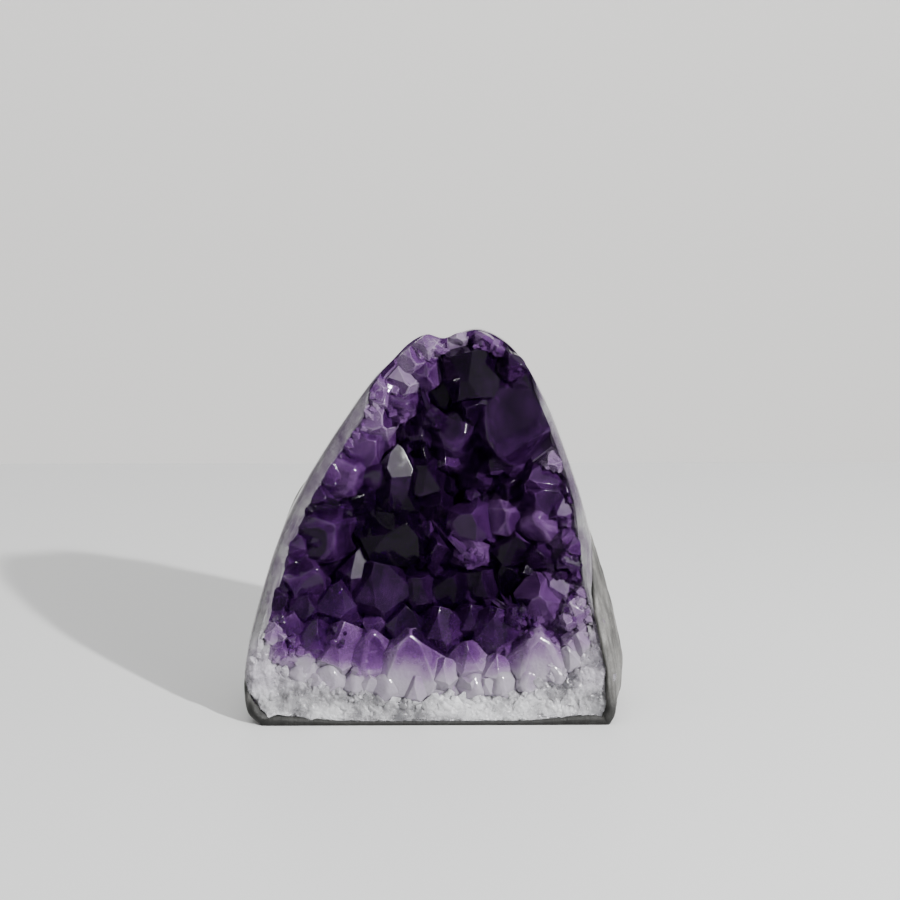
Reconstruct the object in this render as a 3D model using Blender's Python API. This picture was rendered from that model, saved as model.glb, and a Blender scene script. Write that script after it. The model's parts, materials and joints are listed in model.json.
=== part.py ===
"""Amethyst geode cut flat underneath and across the front, so that it stands and shows its crystals.

Three minerals that grew on each other, from the outside in:
- basalt_rind, the grey-green volcanic rock round the back, the sides and the bottom
- quartz_layer, the white quartz that lines the rock and shows as a pale rim round the front
- amethyst_crust, the violet crystals that grew into the hollow, one solid piece

Frame: metres, +Z up, the front looks along -Y, the origin is at the middle of the base.
"""

import math
import random

import bmesh
import bpy
import numpy as np
from mathutils import Matrix, Vector, noise

MM = 0.001

# Driving dimensions, in millimetres. The outline below gives the width and the height.
DEPTH = 54.0
FRONT_LEAN = math.radians(9.0)
HOLLOW_DEPTH = 24.0
GAP = 0.3

# The silhouette seen from the front, from the right foot over the top to the left foot (x, z).
OUTLINE = (
    (44.6, 0.0), (47.7, 3.6), (48.4, 9.0), (48.1, 15.0), (45.7, 27.5), (41.5, 42.4), (37.0, 56.0),
    (31.4, 71.9), (27.2, 81.5), (22.5, 89.7), (17.3, 95.0), (11.4, 97.6), (6.0, 96.8), (2.2, 95.6),
    (-2.2, 96.5), (-6.6, 94.2), (-10.4, 90.4), (-16.9, 83.5), (-28.1, 67.4), (-34.6, 56.2), (-38.9, 47.1),
    (-43.1, 34.7), (-45.9, 24.8), (-47.9, 14.9), (-48.4, 7.9), (-47.5, 2.6), (-44.6, 0.0),
)
# The mouth of the hollow in the front face, where white quartz gives way to crystals (x, z).
MOUTH = (
    (0.0, 6.6), (14.0, 7.2), (26.0, 8.6), (33.5, 13.5), (37.8, 21.5), (40.4, 31.0), (39.2, 42.0),
    (36.2, 55.0), (31.6, 69.0), (26.6, 80.4), (21.6, 88.6), (15.6, 93.8), (7.5, 95.6), (-0.5, 94.0),
    (-8.0, 89.6), (-14.8, 82.0), (-22.8, 72.2), (-30.4, 61.2), (-37.0, 48.9), (-41.4, 36.4),
    (-43.4, 26.0), (-40.2, 17.0), (-31.0, 10.6), (-17.0, 7.4),
)
# The point inside both outlines from which they are read, in directions closer together at the top and so
# that two of them meet each end of the flat base.
MIDDLE = (1.5, 44.0)
DIRECTIONS = sorted([*range(-172, -143, 7), *range(-129, -50, 7), *range(-34, 49, 7), *range(54, 131, 5),
                     *range(136, 186, 7), -142.0, -139.8, -136.3, -45.6, -41.2])
AROUND = len(DIRECTIONS)

# Thickness of the basalt: a thin skin at the front edge and a full wall behind it.
RIND_WALL = 6.5
RIND_SKIN = 1.1
RIND_SKIN_FEET = 3.6
# Share of the depth over which bare quartz shows round the sides.
RIM_SHARE = 0.17
# How far the quartz stands back at the top, where crystals cover its rim, and the least width of its rim.
LIP = 3.6
LEAST_RIM = 0.7

# Each crystal as seen from the front: the middle of its widest part (x, z), its radius, how far its foremost
# point lies behind the front face, and how far its length leans to the side and up for each step forward.
CRYSTALS = (
    # the pale ones along the bottom edge
    (-39.4, 18.0, 3.8, 0.4, 0.5, 0.8), (-33.4, 12.8, 4.6, 0.2, 0.4, 1.4), (-26.6, 10.8, 4.8, 0.2, 0.2, 1.5),
    (-19.4, 9.6, 4.6, 0.2, 0.1, 1.5), (-12.0, 8.8, 4.6, 0.2, 0.0, 1.5), (-4.6, 8.4, 4.4, 0.2, 0.0, 1.4),
    (9.6, 8.8, 4.6, 0.2, 0.0, 1.5), (17.0, 9.4, 4.4, 0.2, 0.0, 1.4), (23.6, 10.2, 4.6, 0.2, -0.1, 1.4),
    (30.4, 11.8, 4.6, 0.2, -0.3, 1.2), (37.0, 20.0, 4.2, 0.3, -0.5, 0.8),
    # the row that stands up behind them
    (-16.6, 15.6, 7.4, 0.6, 0.15, 2.2), (-23.8, 17.6, 7.8, 0.8, 0.1, 2.0),
    (-31.0, 20.2, 5.6, 0.8, 0.5, 1.8), (-36.6, 17.2, 5.2, 0.5, 0.5, 1.6), (-37.0, 24.4, 4.0, 1.0, 0.5, 1.2),
    (-40.6, 22.6, 3.2, 0.4, 0.4, 1.0), (8.6, 15.0, 5.4, 0.8, -0.1, 2.2), (15.2, 12.4, 4.6, 0.3, 0.1, 2.0),
    (34.6, 15.6, 4.8, 0.3, -0.4, 1.6), (2.4, 11.8, 4.6, 0.2, 0.0, 2.0),
    # behind them
    (-7.8, 22.6, 5.6, 4.3, 0.1, 1.8), (1.2, 22.0, 6.0, 3.8, -0.1, 1.8), (9.2, 23.6, 4.8, 6.1, 0.0, 1.6),
    (15.4, 22.6, 6.4, 1.4, 0.0, 1.8), (20.0, 26.8, 3.0, 1.2, 0.0, 1.0), (-25.2, 28.6, 6.2, 2.9, 0.2, 1.4),
    (-14.8, 32.0, 8.4, 3.5, -0.1, 1.1), (-33.0, 35.4, 6.6, 1.6, 0.5, 0.6), (-33.4, 29.0, 4.4, 1.6, 0.4, 1.0),
    (-4.2, 31.0, 5.2, 7.5, 0.0, 0.9), (4.0, 31.6, 5.6, 7.8, 0.1, 0.8), (12.4, 32.6, 5.2, 8.4, 0.0, 0.8),
    (18.8, 34.4, 5.4, 9.0, -0.2, 0.7), (27.2, 30.4, 6.6, 1.4, -0.1, 0.4), (36.4, 27.4, 5.2, 1.0, -0.6, 0.8),
    # the middle
    (35.0, 40.2, 4.8, 1.2, -0.7, 0.2), (27.6, 40.4, 5.0, 4.6, -0.4, 0.3), (19.8, 42.0, 5.8, 6.7, 0.1, 0.7),
    (9.6, 41.0, 4.8, 6.4, 0.1, 0.5), (1.0, 40.4, 5.8, 10.2, 0.0, 0.5), (-11.0, 45.0, 9.4, 4.9, 0.3, 0.5),
    (-28.6, 47.2, 9.2, 1.0, 0.5, 0.3), (9.4, 48.6, 6.2, 5.5, 0.0, 0.5), (18.4, 50.0, 6.2, 5.5, -0.1, 0.4),
    (27.8, 49.4, 6.8, 2.9, -0.4, 0.3), (0.4, 52.2, 6.0, 9.6, 0.1, 0.3), (-18.6, 55.6, 5.8, 5.5, 0.3, 0.2),
    (-8.0, 55.0, 5.8, 7.8, 0.0, 0.5), (28.0, 56.0, 5.6, 1.6, -0.5, 0.2), (19.6, 57.6, 5.2, 6.1, -0.2, 0.2),
    # the upper part
    (-3.0, 60.4, 6.4, 5.8, 0.2, 0.6), (11.0, 60.0, 5.8, 7.5, -0.1, 0.1), (3.8, 65.0, 5.8, 6.7, -0.3, -0.2),
    (27.0, 59.6, 5.6, 1.6, -0.7, 0.3), (-15.6, 61.8, 4.6, 3.5, 0.4, 0.3), (-22.8, 61.8, 7.0, 1.0, 0.5, 0.2),
    (-4.0, 71.4, 5.8, 4.6, 0.2, 0.0), (-17.6, 68.6, 5.8, 1.0, 0.4, 0.2), (-14.8, 74.8, 5.6, 0.4, 0.4, 0.1),
    (5.0, 70.6, 6.6, 3.2, 0.1, -0.5), (-0.8, 75.8, 3.2, 1.6, 0.0, 0.0),
    (30.4, 65.4, 3.2, 0.6, -0.5, 0.0), (-8.4, 79.2, 4.8, 0.4, 0.3, 0.0), (-7.6, 84.4, 4.8, 0.4, 0.3, 0.0),
    (-5.6, 89.6, 4.4, 0.2, 0.3, 0.0), (-2.6, 87.0, 5.0, 0.3, 0.2, -0.1), (-2.0, 93.0, 4.2, 0.0, 0.1, 0.2),
    (13.4, 95.4, 3.8, 0.0, 0.0, 0.2), (5.6, 96.2, 2.8, 1.2, 0.0, 0.0), (20.2, 89.6, 5.0, 0.3, -0.3, 0.0),
    (9.6, 77.4, 6.2, 2.6, -0.2, 0.2), (-13.4, 80.4, 3.6, 0.4, 0.3, 0.0),
)
# Crystals with one large face turned to a given side: the same six values and the way that the face looks.
LIT = (0.31, -0.88, 0.35)
UPWARD = (-0.2, 0.0, 1.0)
RIGHT_UPWARD = (0.1, 0.0, 1.0)
FORWARD = (0.0, -1.0, 0.1)
FACED = (
    ((8.6, 86.8, 9.2, 0.2, -0.25, 0.5), UPWARD), ((20.6, 72.6, 12.8, 0.2, -0.3, -0.35), RIGHT_UPWARD),
    ((-6.4, 13.0, 10.8, -0.4, 0.0, 1.28), FORWARD), ((26.4, 15.0, 9.2, -0.2, -0.1, 1.3), FORWARD),
    ((-10.0, 62.8, 5.6, 1.8, 0.36, 3.4), LIT), ((-19.6, 36.4, 5.4, 4.4, 0.36, 3.4), LIT),
    ((31.2, 34.0, 4.6, 1.4, 3.1, 4.5), LIT),
)
# Smaller crystals fill what the lists leave open.
FILLERS = 60
FILLER_RADIUS = (2.4, 4.4)
# Angle between the axis and the way that a tip's face looks, as in quartz.
FACE_SLOPE = math.radians(51.8)
COLUMN = 17.0
# How much a crystal strays, and how much the small ones lean inward at the mouth.
TILT = 0.12
FILLER_LEAN = 1.6
# Thickness of the layer that the crystals stand on, how far it stays behind the front face, and its rings.
BED = 3.4
BED_BEHIND = 0.9
BED_SHARES = (0.9, 0.75, 0.5, 0.25)


def smooth_step(value, low, high):
    t = np.clip((np.asarray(value, float) - low) / (high - low), 0.0, 1.0)
    return t * t * (3.0 - 2.0 * t)


def catmull_rom(points, closed, steps=12):
    """Points along a smooth curve that passes through the given ones."""
    p = np.asarray(points, float)
    ends = (p[-1:], p[:2]) if closed else (p[:1], p[-1:])
    p = np.concatenate([ends[0], p, ends[1]])
    t = np.linspace(0.0, 1.0, steps, endpoint=False)[:, None]
    spans = []
    for a, b, c, d in zip(p, p[1:], p[2:], p[3:]):
        spans.append(0.5 * (2 * b + (c - a) * t + (2 * a - 5 * b + 4 * c - d) * t**2
                            + (3 * b - a - 3 * c + d) * t**3))
    curve = np.concatenate(spans)
    return curve if closed else np.concatenate([curve, p[-2:-1]])


def by_angle(curve, angles):
    """The curve's points that lie in these directions from MIDDLE."""
    seen = np.unwrap(np.arctan2(curve[:, 1] - MIDDLE[1], curve[:, 0] - MIDDLE[0]))
    if seen[-1] < seen[0]:
        seen, curve = seen[::-1], curve[::-1]
    turns = np.concatenate([seen - 2 * math.pi, seen, seen + 2 * math.pi])
    wrapped = np.concatenate([curve, curve, curve])
    return np.stack([np.interp(angles, turns, wrapped[:, k]) for k in (0, 1)], axis=1)


ANGLES = np.radians(DIRECTIONS)
BODY = by_angle(catmull_rom(OUTLINE, closed=False), ANGLES)
POCKET_CURVE = catmull_rom(MOUTH, closed=True)
# Rings of the hollow, as shares of the way from its middle to its mouth, and of the inside of the rock.
HOLLOW_SHARES = (0.34, 0.62, 0.82, 0.94)
INNER_SHARES = (0.0, 0.05, 0.16, 0.34, 0.54, 0.72)
OUTER_SHARES = (0.985, 0.92, 0.82, 0.68, 0.5, 0.32, 0.15, 0.04, 0.0)


def lumps(points, size, seed):
    """Smooth noise from -1 to 1 at each point, with features of about that size in millimetres."""
    offset = Vector((seed * 17.3, seed * 5.1, -seed * 9.7))
    return np.array([noise.noise(Vector(p) / size + offset) for p in points])


def front_y(z):
    """How far back the leaning front face is at height z."""
    return -DEPTH / 2 + z * math.tan(FRONT_LEAN)


def placed(outline, k):
    """Points of an outline at the depth k, from 0 at the front face to 1 at the back."""
    x, z = outline[:, 0], outline[:, 1]
    y = -DEPTH / 2 + z * math.tan(FRONT_LEAN) * (1 - k) + k * DEPTH
    return np.stack([x, y, z], axis=1)


def inset(row, amount, shrunk=1.0):
    """A row moved in towards its middle until it lies that far inside its outline, as seen from the front."""
    flat = row[:, [0, 2]]
    along = np.roll(flat, -1, axis=0) - np.roll(flat, 1, axis=0)
    normal = np.stack([-along[:, 1], along[:, 0]], axis=1) / np.linalg.norm(along, axis=1)[:, None]
    toward = np.asarray(MIDDLE) * shrunk - flat
    toward /= np.linalg.norm(toward, axis=1)[:, None]
    move = toward * (amount / np.clip((normal * toward).sum(axis=1), 0.6, 1.0))[:, None]
    moved = row.copy()
    moved[:, [0, 2]] += move
    return moved


# Shares by direction, each from 0 to 1.

def base_share():
    """1 along the underside."""
    return 1.0 - smooth_step(BODY[:, 1], 0.0, 5.0)


def right_foot():
    """1 low on the right side, where the rock stands proud of the front face."""
    return (1.0 - smooth_step(BODY[:, 1], 26.0, 62.0)) * smooth_step(BODY[:, 0], 30.0, 42.0)


def high_right():
    """1 high on the right side, where the rim of quartz is thin."""
    return smooth_step(BODY[:, 1], 38.0, 62.0) * smooth_step(BODY[:, 0], 5.0, 20.0)


def crystal_top():
    """1 at the top, where the crystals cover the rim and make the silhouette."""
    return smooth_step(BODY[:, 1], 80.0, 90.0)


def rock_cover():
    """1 where the rock reaches the front face, under the base and at the right foot."""
    return np.maximum(right_foot(), 1.0 - smooth_step(BODY[:, 1], 3.5, 18.0))


def tucked():
    """1 where the quartz lies within rock right up to the front face."""
    return smooth_step(rock_cover(), 0.35, 1.0)


def skin():
    """Rock thickness at the front edge: thickest at the two feet."""
    feet = smooth_step(np.abs(BODY[:, 0]), 20.0, 46.0) * base_share()
    return RIND_SKIN + (RIND_SKIN_FEET - RIND_SKIN) * feet


def rind_start():
    """Depth at which the rock begins, behind a rim of bare quartz on the left, the top and high on the right."""
    return RIM_SHARE * (1.0 - rock_cover())


def shrink(k):
    """How much narrower and lower the body is at the depth k."""
    k = np.broadcast_to(np.asarray(k, float), (AROUND,))
    past = np.clip((k - 0.22) / 0.78, 0.0, 1.0)
    wide = (1.0 - past**2.6) ** (1 / 2.2)
    past = np.clip((k - 0.06) / 0.94, 0.0, 1.0)
    tall = (1.0 - past**2.3) ** (1 / 1.9)
    return np.stack([wide, tall], axis=1)


def body_row(k):
    """The outer surface at the depth k, one value for each direction."""
    k = np.broadcast_to(np.asarray(k, float), (AROUND,))
    row = placed(BODY * shrink(k), k)
    rounded = 1.0 - np.sqrt(1.0 - np.clip(1.0 - k / 0.075, 0.0, 1.0) ** 2)
    edge = 2.4 - 1.3 * np.maximum(np.maximum(right_foot(), base_share()), high_right())
    flare = 3.4 * right_foot() * (1.0 - base_share()) * np.clip(1.0 - k / 0.26, 0.0, 1.0)
    row = inset(row, edge * rounded + flare, shrink(k))
    rough = smooth_step(k, 0.06, 0.3) * (0.9 * lumps(row, 21.0, 3) + 0.45 * lumps(row, 8.0, 4))
    row = inset(row, -rough * smooth_step(BODY[:, 1], 0.0, 6.0), shrink(k))
    row[:, 2] = np.maximum(row[:, 2], 0.0)
    row[BODY[:, 1] < 1e-6, 2] = 0.0
    return row


def wall(k):
    """Thickness of the rock at the depth k."""
    return skin() + (RIND_WALL - skin()) * smooth_step(k - rind_start(), 0.0, 0.3)


def inner_row(k, gap):
    """The inside of the rock at the depth k, moved out into the rock by the gap."""
    return inset(body_row(k), wall(k) - gap, shrink(k))


def depth_rows(starts, shares):
    """Depths for each row, spread from each direction's start to the back."""
    return [starts + (1.0 - starts) * share for share in shares]


def inside_depths():
    """Depths of the rings where the rock and the quartz face each other."""
    return depth_rows(rind_start() + 0.003, INNER_SHARES)


def pole(row, back):
    """The point that closes a row, a little further back than its middle."""
    middle = row.mean(axis=0)
    return np.array([middle[0], row[:, 1].max() + back, max(middle[2], 1.0)])


def rim_edge():
    """The edge of the front face, from which the sides begin."""
    return inset(body_row(LIP / DEPTH * crystal_top()), skin() * tucked())


def mouth_outline():
    """The mouth of the hollow, kept within the edge of the front face."""
    ring = by_angle(POCKET_CURVE, ANGLES)
    room = np.linalg.norm(rim_edge()[:, [0, 2]] - MIDDLE, axis=1) - LEAST_RIM
    far = np.linalg.norm(ring - MIDDLE, axis=1)
    return np.asarray(MIDDLE) + (ring - MIDDLE) * np.minimum(1.0, room / far)[:, None]


POCKET = mouth_outline()


def hollow_depth(share, lip=0.0):
    """Depth of the hollow's wall behind the front face, from the middle (0) to the mouth (1)."""
    return lip + (HOLLOW_DEPTH - lip) * (1.0 - np.clip(share, 0.0, 1.0) ** 2.4) ** 0.75


def hollow_row(share, lift):
    """A ring of the hollow's wall, lifted off it towards the viewer and the middle."""
    row = placed(np.asarray(MIDDLE) + (POCKET - MIDDLE) * share, 0.0)
    row[:, 1] += hollow_depth(share, LIP * crystal_top()) - lift
    return inset(row, lift)


def hollow_pole(lift):
    x, z = MIDDLE
    return np.array([x, front_y(z) + HOLLOW_DEPTH - lift, z])


def lip_back(outward, lift):
    """The edge of the crust against the quartz: at the mouth, but at the top over the rim to the silhouette."""
    mouth, edge = inset(hollow_row(1.0, 0.0), GAP), rim_edge()
    row = inset(mouth + (edge - mouth) * crystal_top()[:, None], -outward)
    row[:, 1] -= lift * (1.0 + crystal_top())
    return row


def lip_front(outward, forward):
    """The edge of the crust at the front face, moved out and forward."""
    row = lip_back(outward, 0.0)
    row[:, 1] = front_y(row[:, 2]) - forward
    return row


def mesh_from_rows(rows, first_pole, last_pole):
    """A closed mesh of triangles through rings of points, ended by a point at each end."""
    points = [first_pole, *np.concatenate(rows), last_pole]
    count = len(rows[0])
    last = len(points) - 1
    faces = []
    for j in range(count):
        n = (j + 1) % count
        faces.append((0, 1 + n, 1 + j))
        for i in range(len(rows) - 1):
            a, b = 1 + i * count, 1 + (i + 1) * count
            faces += [(a + j, a + n, b + n), (a + j, b + n, b + j)]
        a = last - count
        faces.append((a + j, a + n, last))
    return np.asarray(points), faces


def material(name, colour, roughness):
    made = bpy.data.materials.new(name)
    made.use_nodes = True
    shader = made.node_tree.nodes["Principled BSDF"]
    shader.inputs["Base Color"].default_value = (*colour, 1.0)
    shader.inputs["Roughness"].default_value = roughness
    shader.inputs["Metallic"].default_value = 0.0
    made.diffuse_color = (*colour, 1.0)
    return made


def add_object(name, points, faces, finish=None):
    """An object from points in millimetres, with its faces turned outward."""
    mesh = bpy.data.meshes.new(name)
    mesh.from_pydata([tuple(p) for p in np.asarray(points) * MM], [], faces)
    work = bmesh.new()
    work.from_mesh(mesh)
    bmesh.ops.recalc_face_normals(work, faces=work.faces)
    work.to_mesh(mesh)
    work.free()
    made = bpy.data.objects.new(name, mesh)
    bpy.context.scene.collection.objects.link(made)
    if finish is not None:
        mesh.materials.append(finish)
    return made


def hide_helper(helper):
    helper.hide_render = True
    helper.display_type = "WIRE"


def build_rind(finish):
    """The basalt: an open-fronted shell between the outer surface and the quartz."""
    start = np.where(rock_cover() < 1.0, rind_start() + 2 * GAP / DEPTH, 0.0)
    rows = [body_row(k) for k in depth_rows(start, OUTER_SHARES)]
    inside = [start, *[np.maximum(k, start + 0.001) for k in inside_depths()]]
    rows += [inner_row(k, GAP) for k in inside]
    points, faces = mesh_from_rows(rows, pole(rows[0], 0.4), pole(rows[-1], 1.0))
    return add_object("basalt_rind", points, faces, finish)


def build_quartz(finish):
    """The quartz: lines the rock, fills the rim of the front face and holds the hollow."""
    mouth = hollow_row(1.0, 0.0)
    edge = rim_edge()
    rows = [hollow_row(share, 0.0) for share in HOLLOW_SHARES]
    rows.append(mouth)
    ring = mouth + (edge - mouth) * 0.5
    ring[:, 1] += 0.6 * lumps(ring, 5.0, 7) * (1.0 - crystal_top())
    rows += [ring, edge]
    first = LIP / DEPTH * crystal_top()
    for share in (0.1, 0.35, 1.0):
        k = first + (rind_start() - first) * share + 0.001 * share
        rows.append(inset(body_row(k), wall(k) * tucked(), shrink(k)))
    rows += [inner_row(k, 0.0) for k in inside_depths()]
    points, faces = mesh_from_rows(rows, hollow_pole(0.0), pole(rows[-1], 0.0))
    return add_object("quartz_layer", points, faces, finish)


# The crystals.

def crystal_solid(x, z, radius, behind, side, up, chance, faces=None):
    """Corners of a six-sided crystal: a column that widens forward, ended by three large and three small faces."""
    strayed = [chance.uniform(-TILT, TILT) for _ in range(3)]
    grow = (Vector((side, -1.0, up)).normalized() + Vector(strayed) * (faces is None)).normalized()
    ahead = radius * max(math.sqrt(1.0 - grow.y**2), -grow.y / math.tan(FACE_SLOPE))
    middle = Vector((x, front_y(z) + behind + ahead, z))
    turn = grow.orthogonal() if faces is None else Vector(faces)
    turn = (turn - grow * turn.dot(grow)).normalized()
    if faces is None:
        turn.rotate(Matrix.Rotation(chance.uniform(0.0, math.pi), 3, grow))
    planes = [(-grow, COLUMN)]
    for i in range(6):
        out = turn.copy()
        out.rotate(Matrix.Rotation(math.radians(60 * i), 3, grow))
        taper = math.radians(chance.uniform(2, 5))
        planes.append((out * math.cos(taper) - grow * math.sin(taper), radius * chance.uniform(0.84, 1.0)))
        share = chance.uniform(1.04, 1.22) if i % 2 else chance.uniform(0.92, 1.0)
        tip_face = out * math.sin(FACE_SLOPE) + grow * math.cos(FACE_SLOPE)
        planes.append((tip_face, radius * share * math.sin(FACE_SLOPE)))
    return [middle + point for point in corners(planes)]


def corners(planes):
    """Points where three planes meet that lie behind all the others."""
    normals = np.array([tuple(n) for n, _ in planes])
    reach = np.array([d for _, d in planes])
    found = []
    count = len(planes)
    for i in range(count):
        for j in range(i + 1, count):
            for k in range(j + 1, count):
                three = normals[[i, j, k]]
                if abs(np.linalg.det(three)) < 1e-4:
                    continue
                point = np.linalg.solve(three, reach[[i, j, k]])
                if (normals @ point <= reach + 1e-6).all():
                    found.append(Vector(point))
    return found


def add_crystal(name, solid_points):
    """A crystal as the hull of its corners, hidden because the crust joins it."""
    work = bmesh.new()
    for point in solid_points:
        work.verts.new(point * MM)
    bmesh.ops.remove_doubles(work, verts=work.verts, dist=0.02 * MM)
    bmesh.ops.convex_hull(work, input=work.verts)
    bmesh.ops.dissolve_limit(work, angle_limit=math.radians(0.5), verts=work.verts, edges=work.edges)
    mesh = bpy.data.meshes.new(name)
    work.to_mesh(mesh)
    work.free()
    made = bpy.data.objects.new(name, mesh)
    hide_helper(made)
    return made


def filler_crystals(chance):
    """Small crystals between the listed ones, deeper in the hollow."""
    taken = [crystal[:3] for crystal in (*CRYSTALS, *[crystal for crystal, _ in FACED])]
    found = []
    for _ in range(FILLERS * 60):
        if len(found) == FILLERS:
            break
        angle, share = chance.uniform(-math.pi, math.pi), math.sqrt(chance.uniform(0.0, 0.93))
        edge = by_angle(POCKET_CURVE, [angle])[0]
        x, z = np.asarray(MIDDLE) + (edge - MIDDLE) * share
        radius = chance.uniform(*FILLER_RADIUS)
        if all(math.hypot(x - a, z - b) > 0.58 * (radius + r) for a, b, r in taken):
            taken.append((x, z, radius))
            lean = FILLER_LEAN * share**2
            behind = 1.2 + 11.0 * (1.0 - share**2) * chance.uniform(0.7, 1.0)
            found.append((x, z, radius, behind, -math.cos(angle) * lean, -math.sin(angle) * lean))
    return found


def crystal_bed(finish):
    """The layer that the crystals stand on, a little larger than the hollow so that it is trimmed to it."""
    rows = [hollow_row(share, -0.2) for share in HOLLOW_SHARES]
    rows += [lip_back(0.6, -0.2 - BED_BEHIND), lip_front(0.6, -BED_BEHIND), lip_front(-1.2, -BED_BEHIND)]
    for share in BED_SHARES:
        row = hollow_row(share, BED)
        row[:, 1] += 0.8 * lumps(row, 7.0, 9)
        rows.append(row)
    points, faces = mesh_from_rows(rows, hollow_pole(-0.2), hollow_pole(BED))
    return add_object("amethyst_crust", points, faces, finish)


def crust_space():
    """The room for the crust: the hollow up to the front face and, at the top, the space over the rim."""
    rows = [hollow_row(share, GAP) for share in (*HOLLOW_SHARES, 0.999)]
    rows += [lip_back(0.0, GAP), lip_front(0.0, GAP + 0.1), lip_front(-1.4, 0.8), lip_front(-5.0, 1.6)]
    front_pole = hollow_pole(0.0) - np.array([0.0, HOLLOW_DEPTH + 2.0, 0.0])
    points, faces = mesh_from_rows(rows, hollow_pole(GAP), front_pole)
    space = add_object("crust_space", points, faces)
    hide_helper(space)
    return space


def keep_outer_shell(crust):
    """Fixes the joined shape as a mesh and fills the pockets that lie closed between crystals."""
    bpy.context.view_layer.update()
    joined = crust.evaluated_get(bpy.context.evaluated_depsgraph_get())
    crust.data = bpy.data.meshes.new_from_object(joined)
    crust.modifiers.clear()
    work = bmesh.new()
    work.from_mesh(crust.data)
    bmesh.ops.dissolve_limit(work, angle_limit=math.radians(1.0), verts=work.verts, edges=work.edges)
    bmesh.ops.triangulate(work, faces=work.faces)
    shells, left = [], set(work.faces)
    while left:
        shell, border = set(), [left.pop()]
        while border:
            face = border.pop()
            shell.add(face)
            ahead = {other for edge in face.edges for other in edge.link_faces} & left
            left -= ahead
            border += ahead
        shells.append(shell)
    outer = max(shells, key=len)
    bmesh.ops.delete(work, geom=[face for face in work.faces if face not in outer], context="FACES")
    work.to_mesh(crust.data)
    work.free()


def build_crust(finish):
    """The crystals and the bed that they grow from, joined and cut off by the hollow's wall and the front face."""
    chance = random.Random(11)
    crystals = bpy.data.collections.new("crystals")
    bpy.context.scene.collection.children.link(crystals)
    solids = [crystal_solid(*crystal, chance) for crystal in (*CRYSTALS, *filler_crystals(chance))]
    solids += [crystal_solid(*crystal, chance, faces) for crystal, faces in FACED]
    for n, solid in enumerate(solids):
        crystals.objects.link(add_crystal(f"crystal_{n:03d}", solid))

    crust = crystal_bed(finish)
    join = crust.modifiers.new("join_crystals", "BOOLEAN")
    join.operation = "UNION"
    join.operand_type = "COLLECTION"
    join.collection = crystals
    trim = crust.modifiers.new("trim_to_hollow", "BOOLEAN")
    trim.operation = "INTERSECT"
    trim.object = crust_space()
    keep_outer_shell(crust)


def centre_on_base(nodes):
    """Moves everything so that the origin is under the middle of the body."""
    corners_of = np.concatenate([[v.co for v in node.data.vertices] for node in nodes])
    middle = (corners_of.min(axis=0) + corners_of.max(axis=0)) / 2
    for each in bpy.data.objects:
        each.location = (-middle[0], -middle[1], 0.0)


def main():
    for old in list(bpy.data.objects):
        bpy.data.objects.remove(old)
    basalt = material("basalt", (0.18, 0.18, 0.16), 0.45)
    quartz = material("quartz", (0.80, 0.79, 0.81), 0.3)
    amethyst = material("amethyst", (0.22, 0.06, 0.42), 0.08)
    body = [build_rind(basalt), build_quartz(quartz)]
    build_crust(amethyst)
    centre_on_base(body)


main()
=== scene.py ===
"""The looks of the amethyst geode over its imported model: the rock, the quartz and the crystals."""

import itertools
import json
import math
import random

import bmesh
import bpy
import numpy as np
from mathutils import Matrix, Vector, noise

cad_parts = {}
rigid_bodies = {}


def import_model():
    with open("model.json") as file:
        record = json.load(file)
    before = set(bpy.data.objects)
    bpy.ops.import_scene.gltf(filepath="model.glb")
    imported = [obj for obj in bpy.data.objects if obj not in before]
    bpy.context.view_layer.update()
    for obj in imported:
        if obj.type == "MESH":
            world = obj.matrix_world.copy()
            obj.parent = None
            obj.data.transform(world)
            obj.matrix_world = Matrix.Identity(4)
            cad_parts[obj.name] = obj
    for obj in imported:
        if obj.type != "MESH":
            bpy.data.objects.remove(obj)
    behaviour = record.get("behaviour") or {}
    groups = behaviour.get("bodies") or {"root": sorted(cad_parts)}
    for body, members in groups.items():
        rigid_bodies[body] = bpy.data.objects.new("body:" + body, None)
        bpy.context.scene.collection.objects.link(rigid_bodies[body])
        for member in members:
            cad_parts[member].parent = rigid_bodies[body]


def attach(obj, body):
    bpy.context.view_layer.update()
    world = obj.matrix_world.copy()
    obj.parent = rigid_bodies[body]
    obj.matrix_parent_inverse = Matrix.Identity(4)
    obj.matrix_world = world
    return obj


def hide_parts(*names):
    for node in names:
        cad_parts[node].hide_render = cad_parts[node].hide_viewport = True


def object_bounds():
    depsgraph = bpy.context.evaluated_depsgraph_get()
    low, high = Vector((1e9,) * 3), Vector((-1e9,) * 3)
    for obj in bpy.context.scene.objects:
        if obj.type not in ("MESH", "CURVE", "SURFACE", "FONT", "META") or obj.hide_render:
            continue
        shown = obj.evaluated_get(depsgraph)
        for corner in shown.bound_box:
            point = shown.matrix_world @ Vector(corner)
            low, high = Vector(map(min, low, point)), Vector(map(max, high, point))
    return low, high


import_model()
CAD_LOW, CAD_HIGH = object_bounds()

MM = 0.001

# Driving dimensions of the stone, in millimetres, as in the solid model but for a thinner skin at the feet.
DEPTH = 54.0
FRONT_LEAN = math.radians(9.0)
HOLLOW_DEPTH = 24.0

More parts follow.
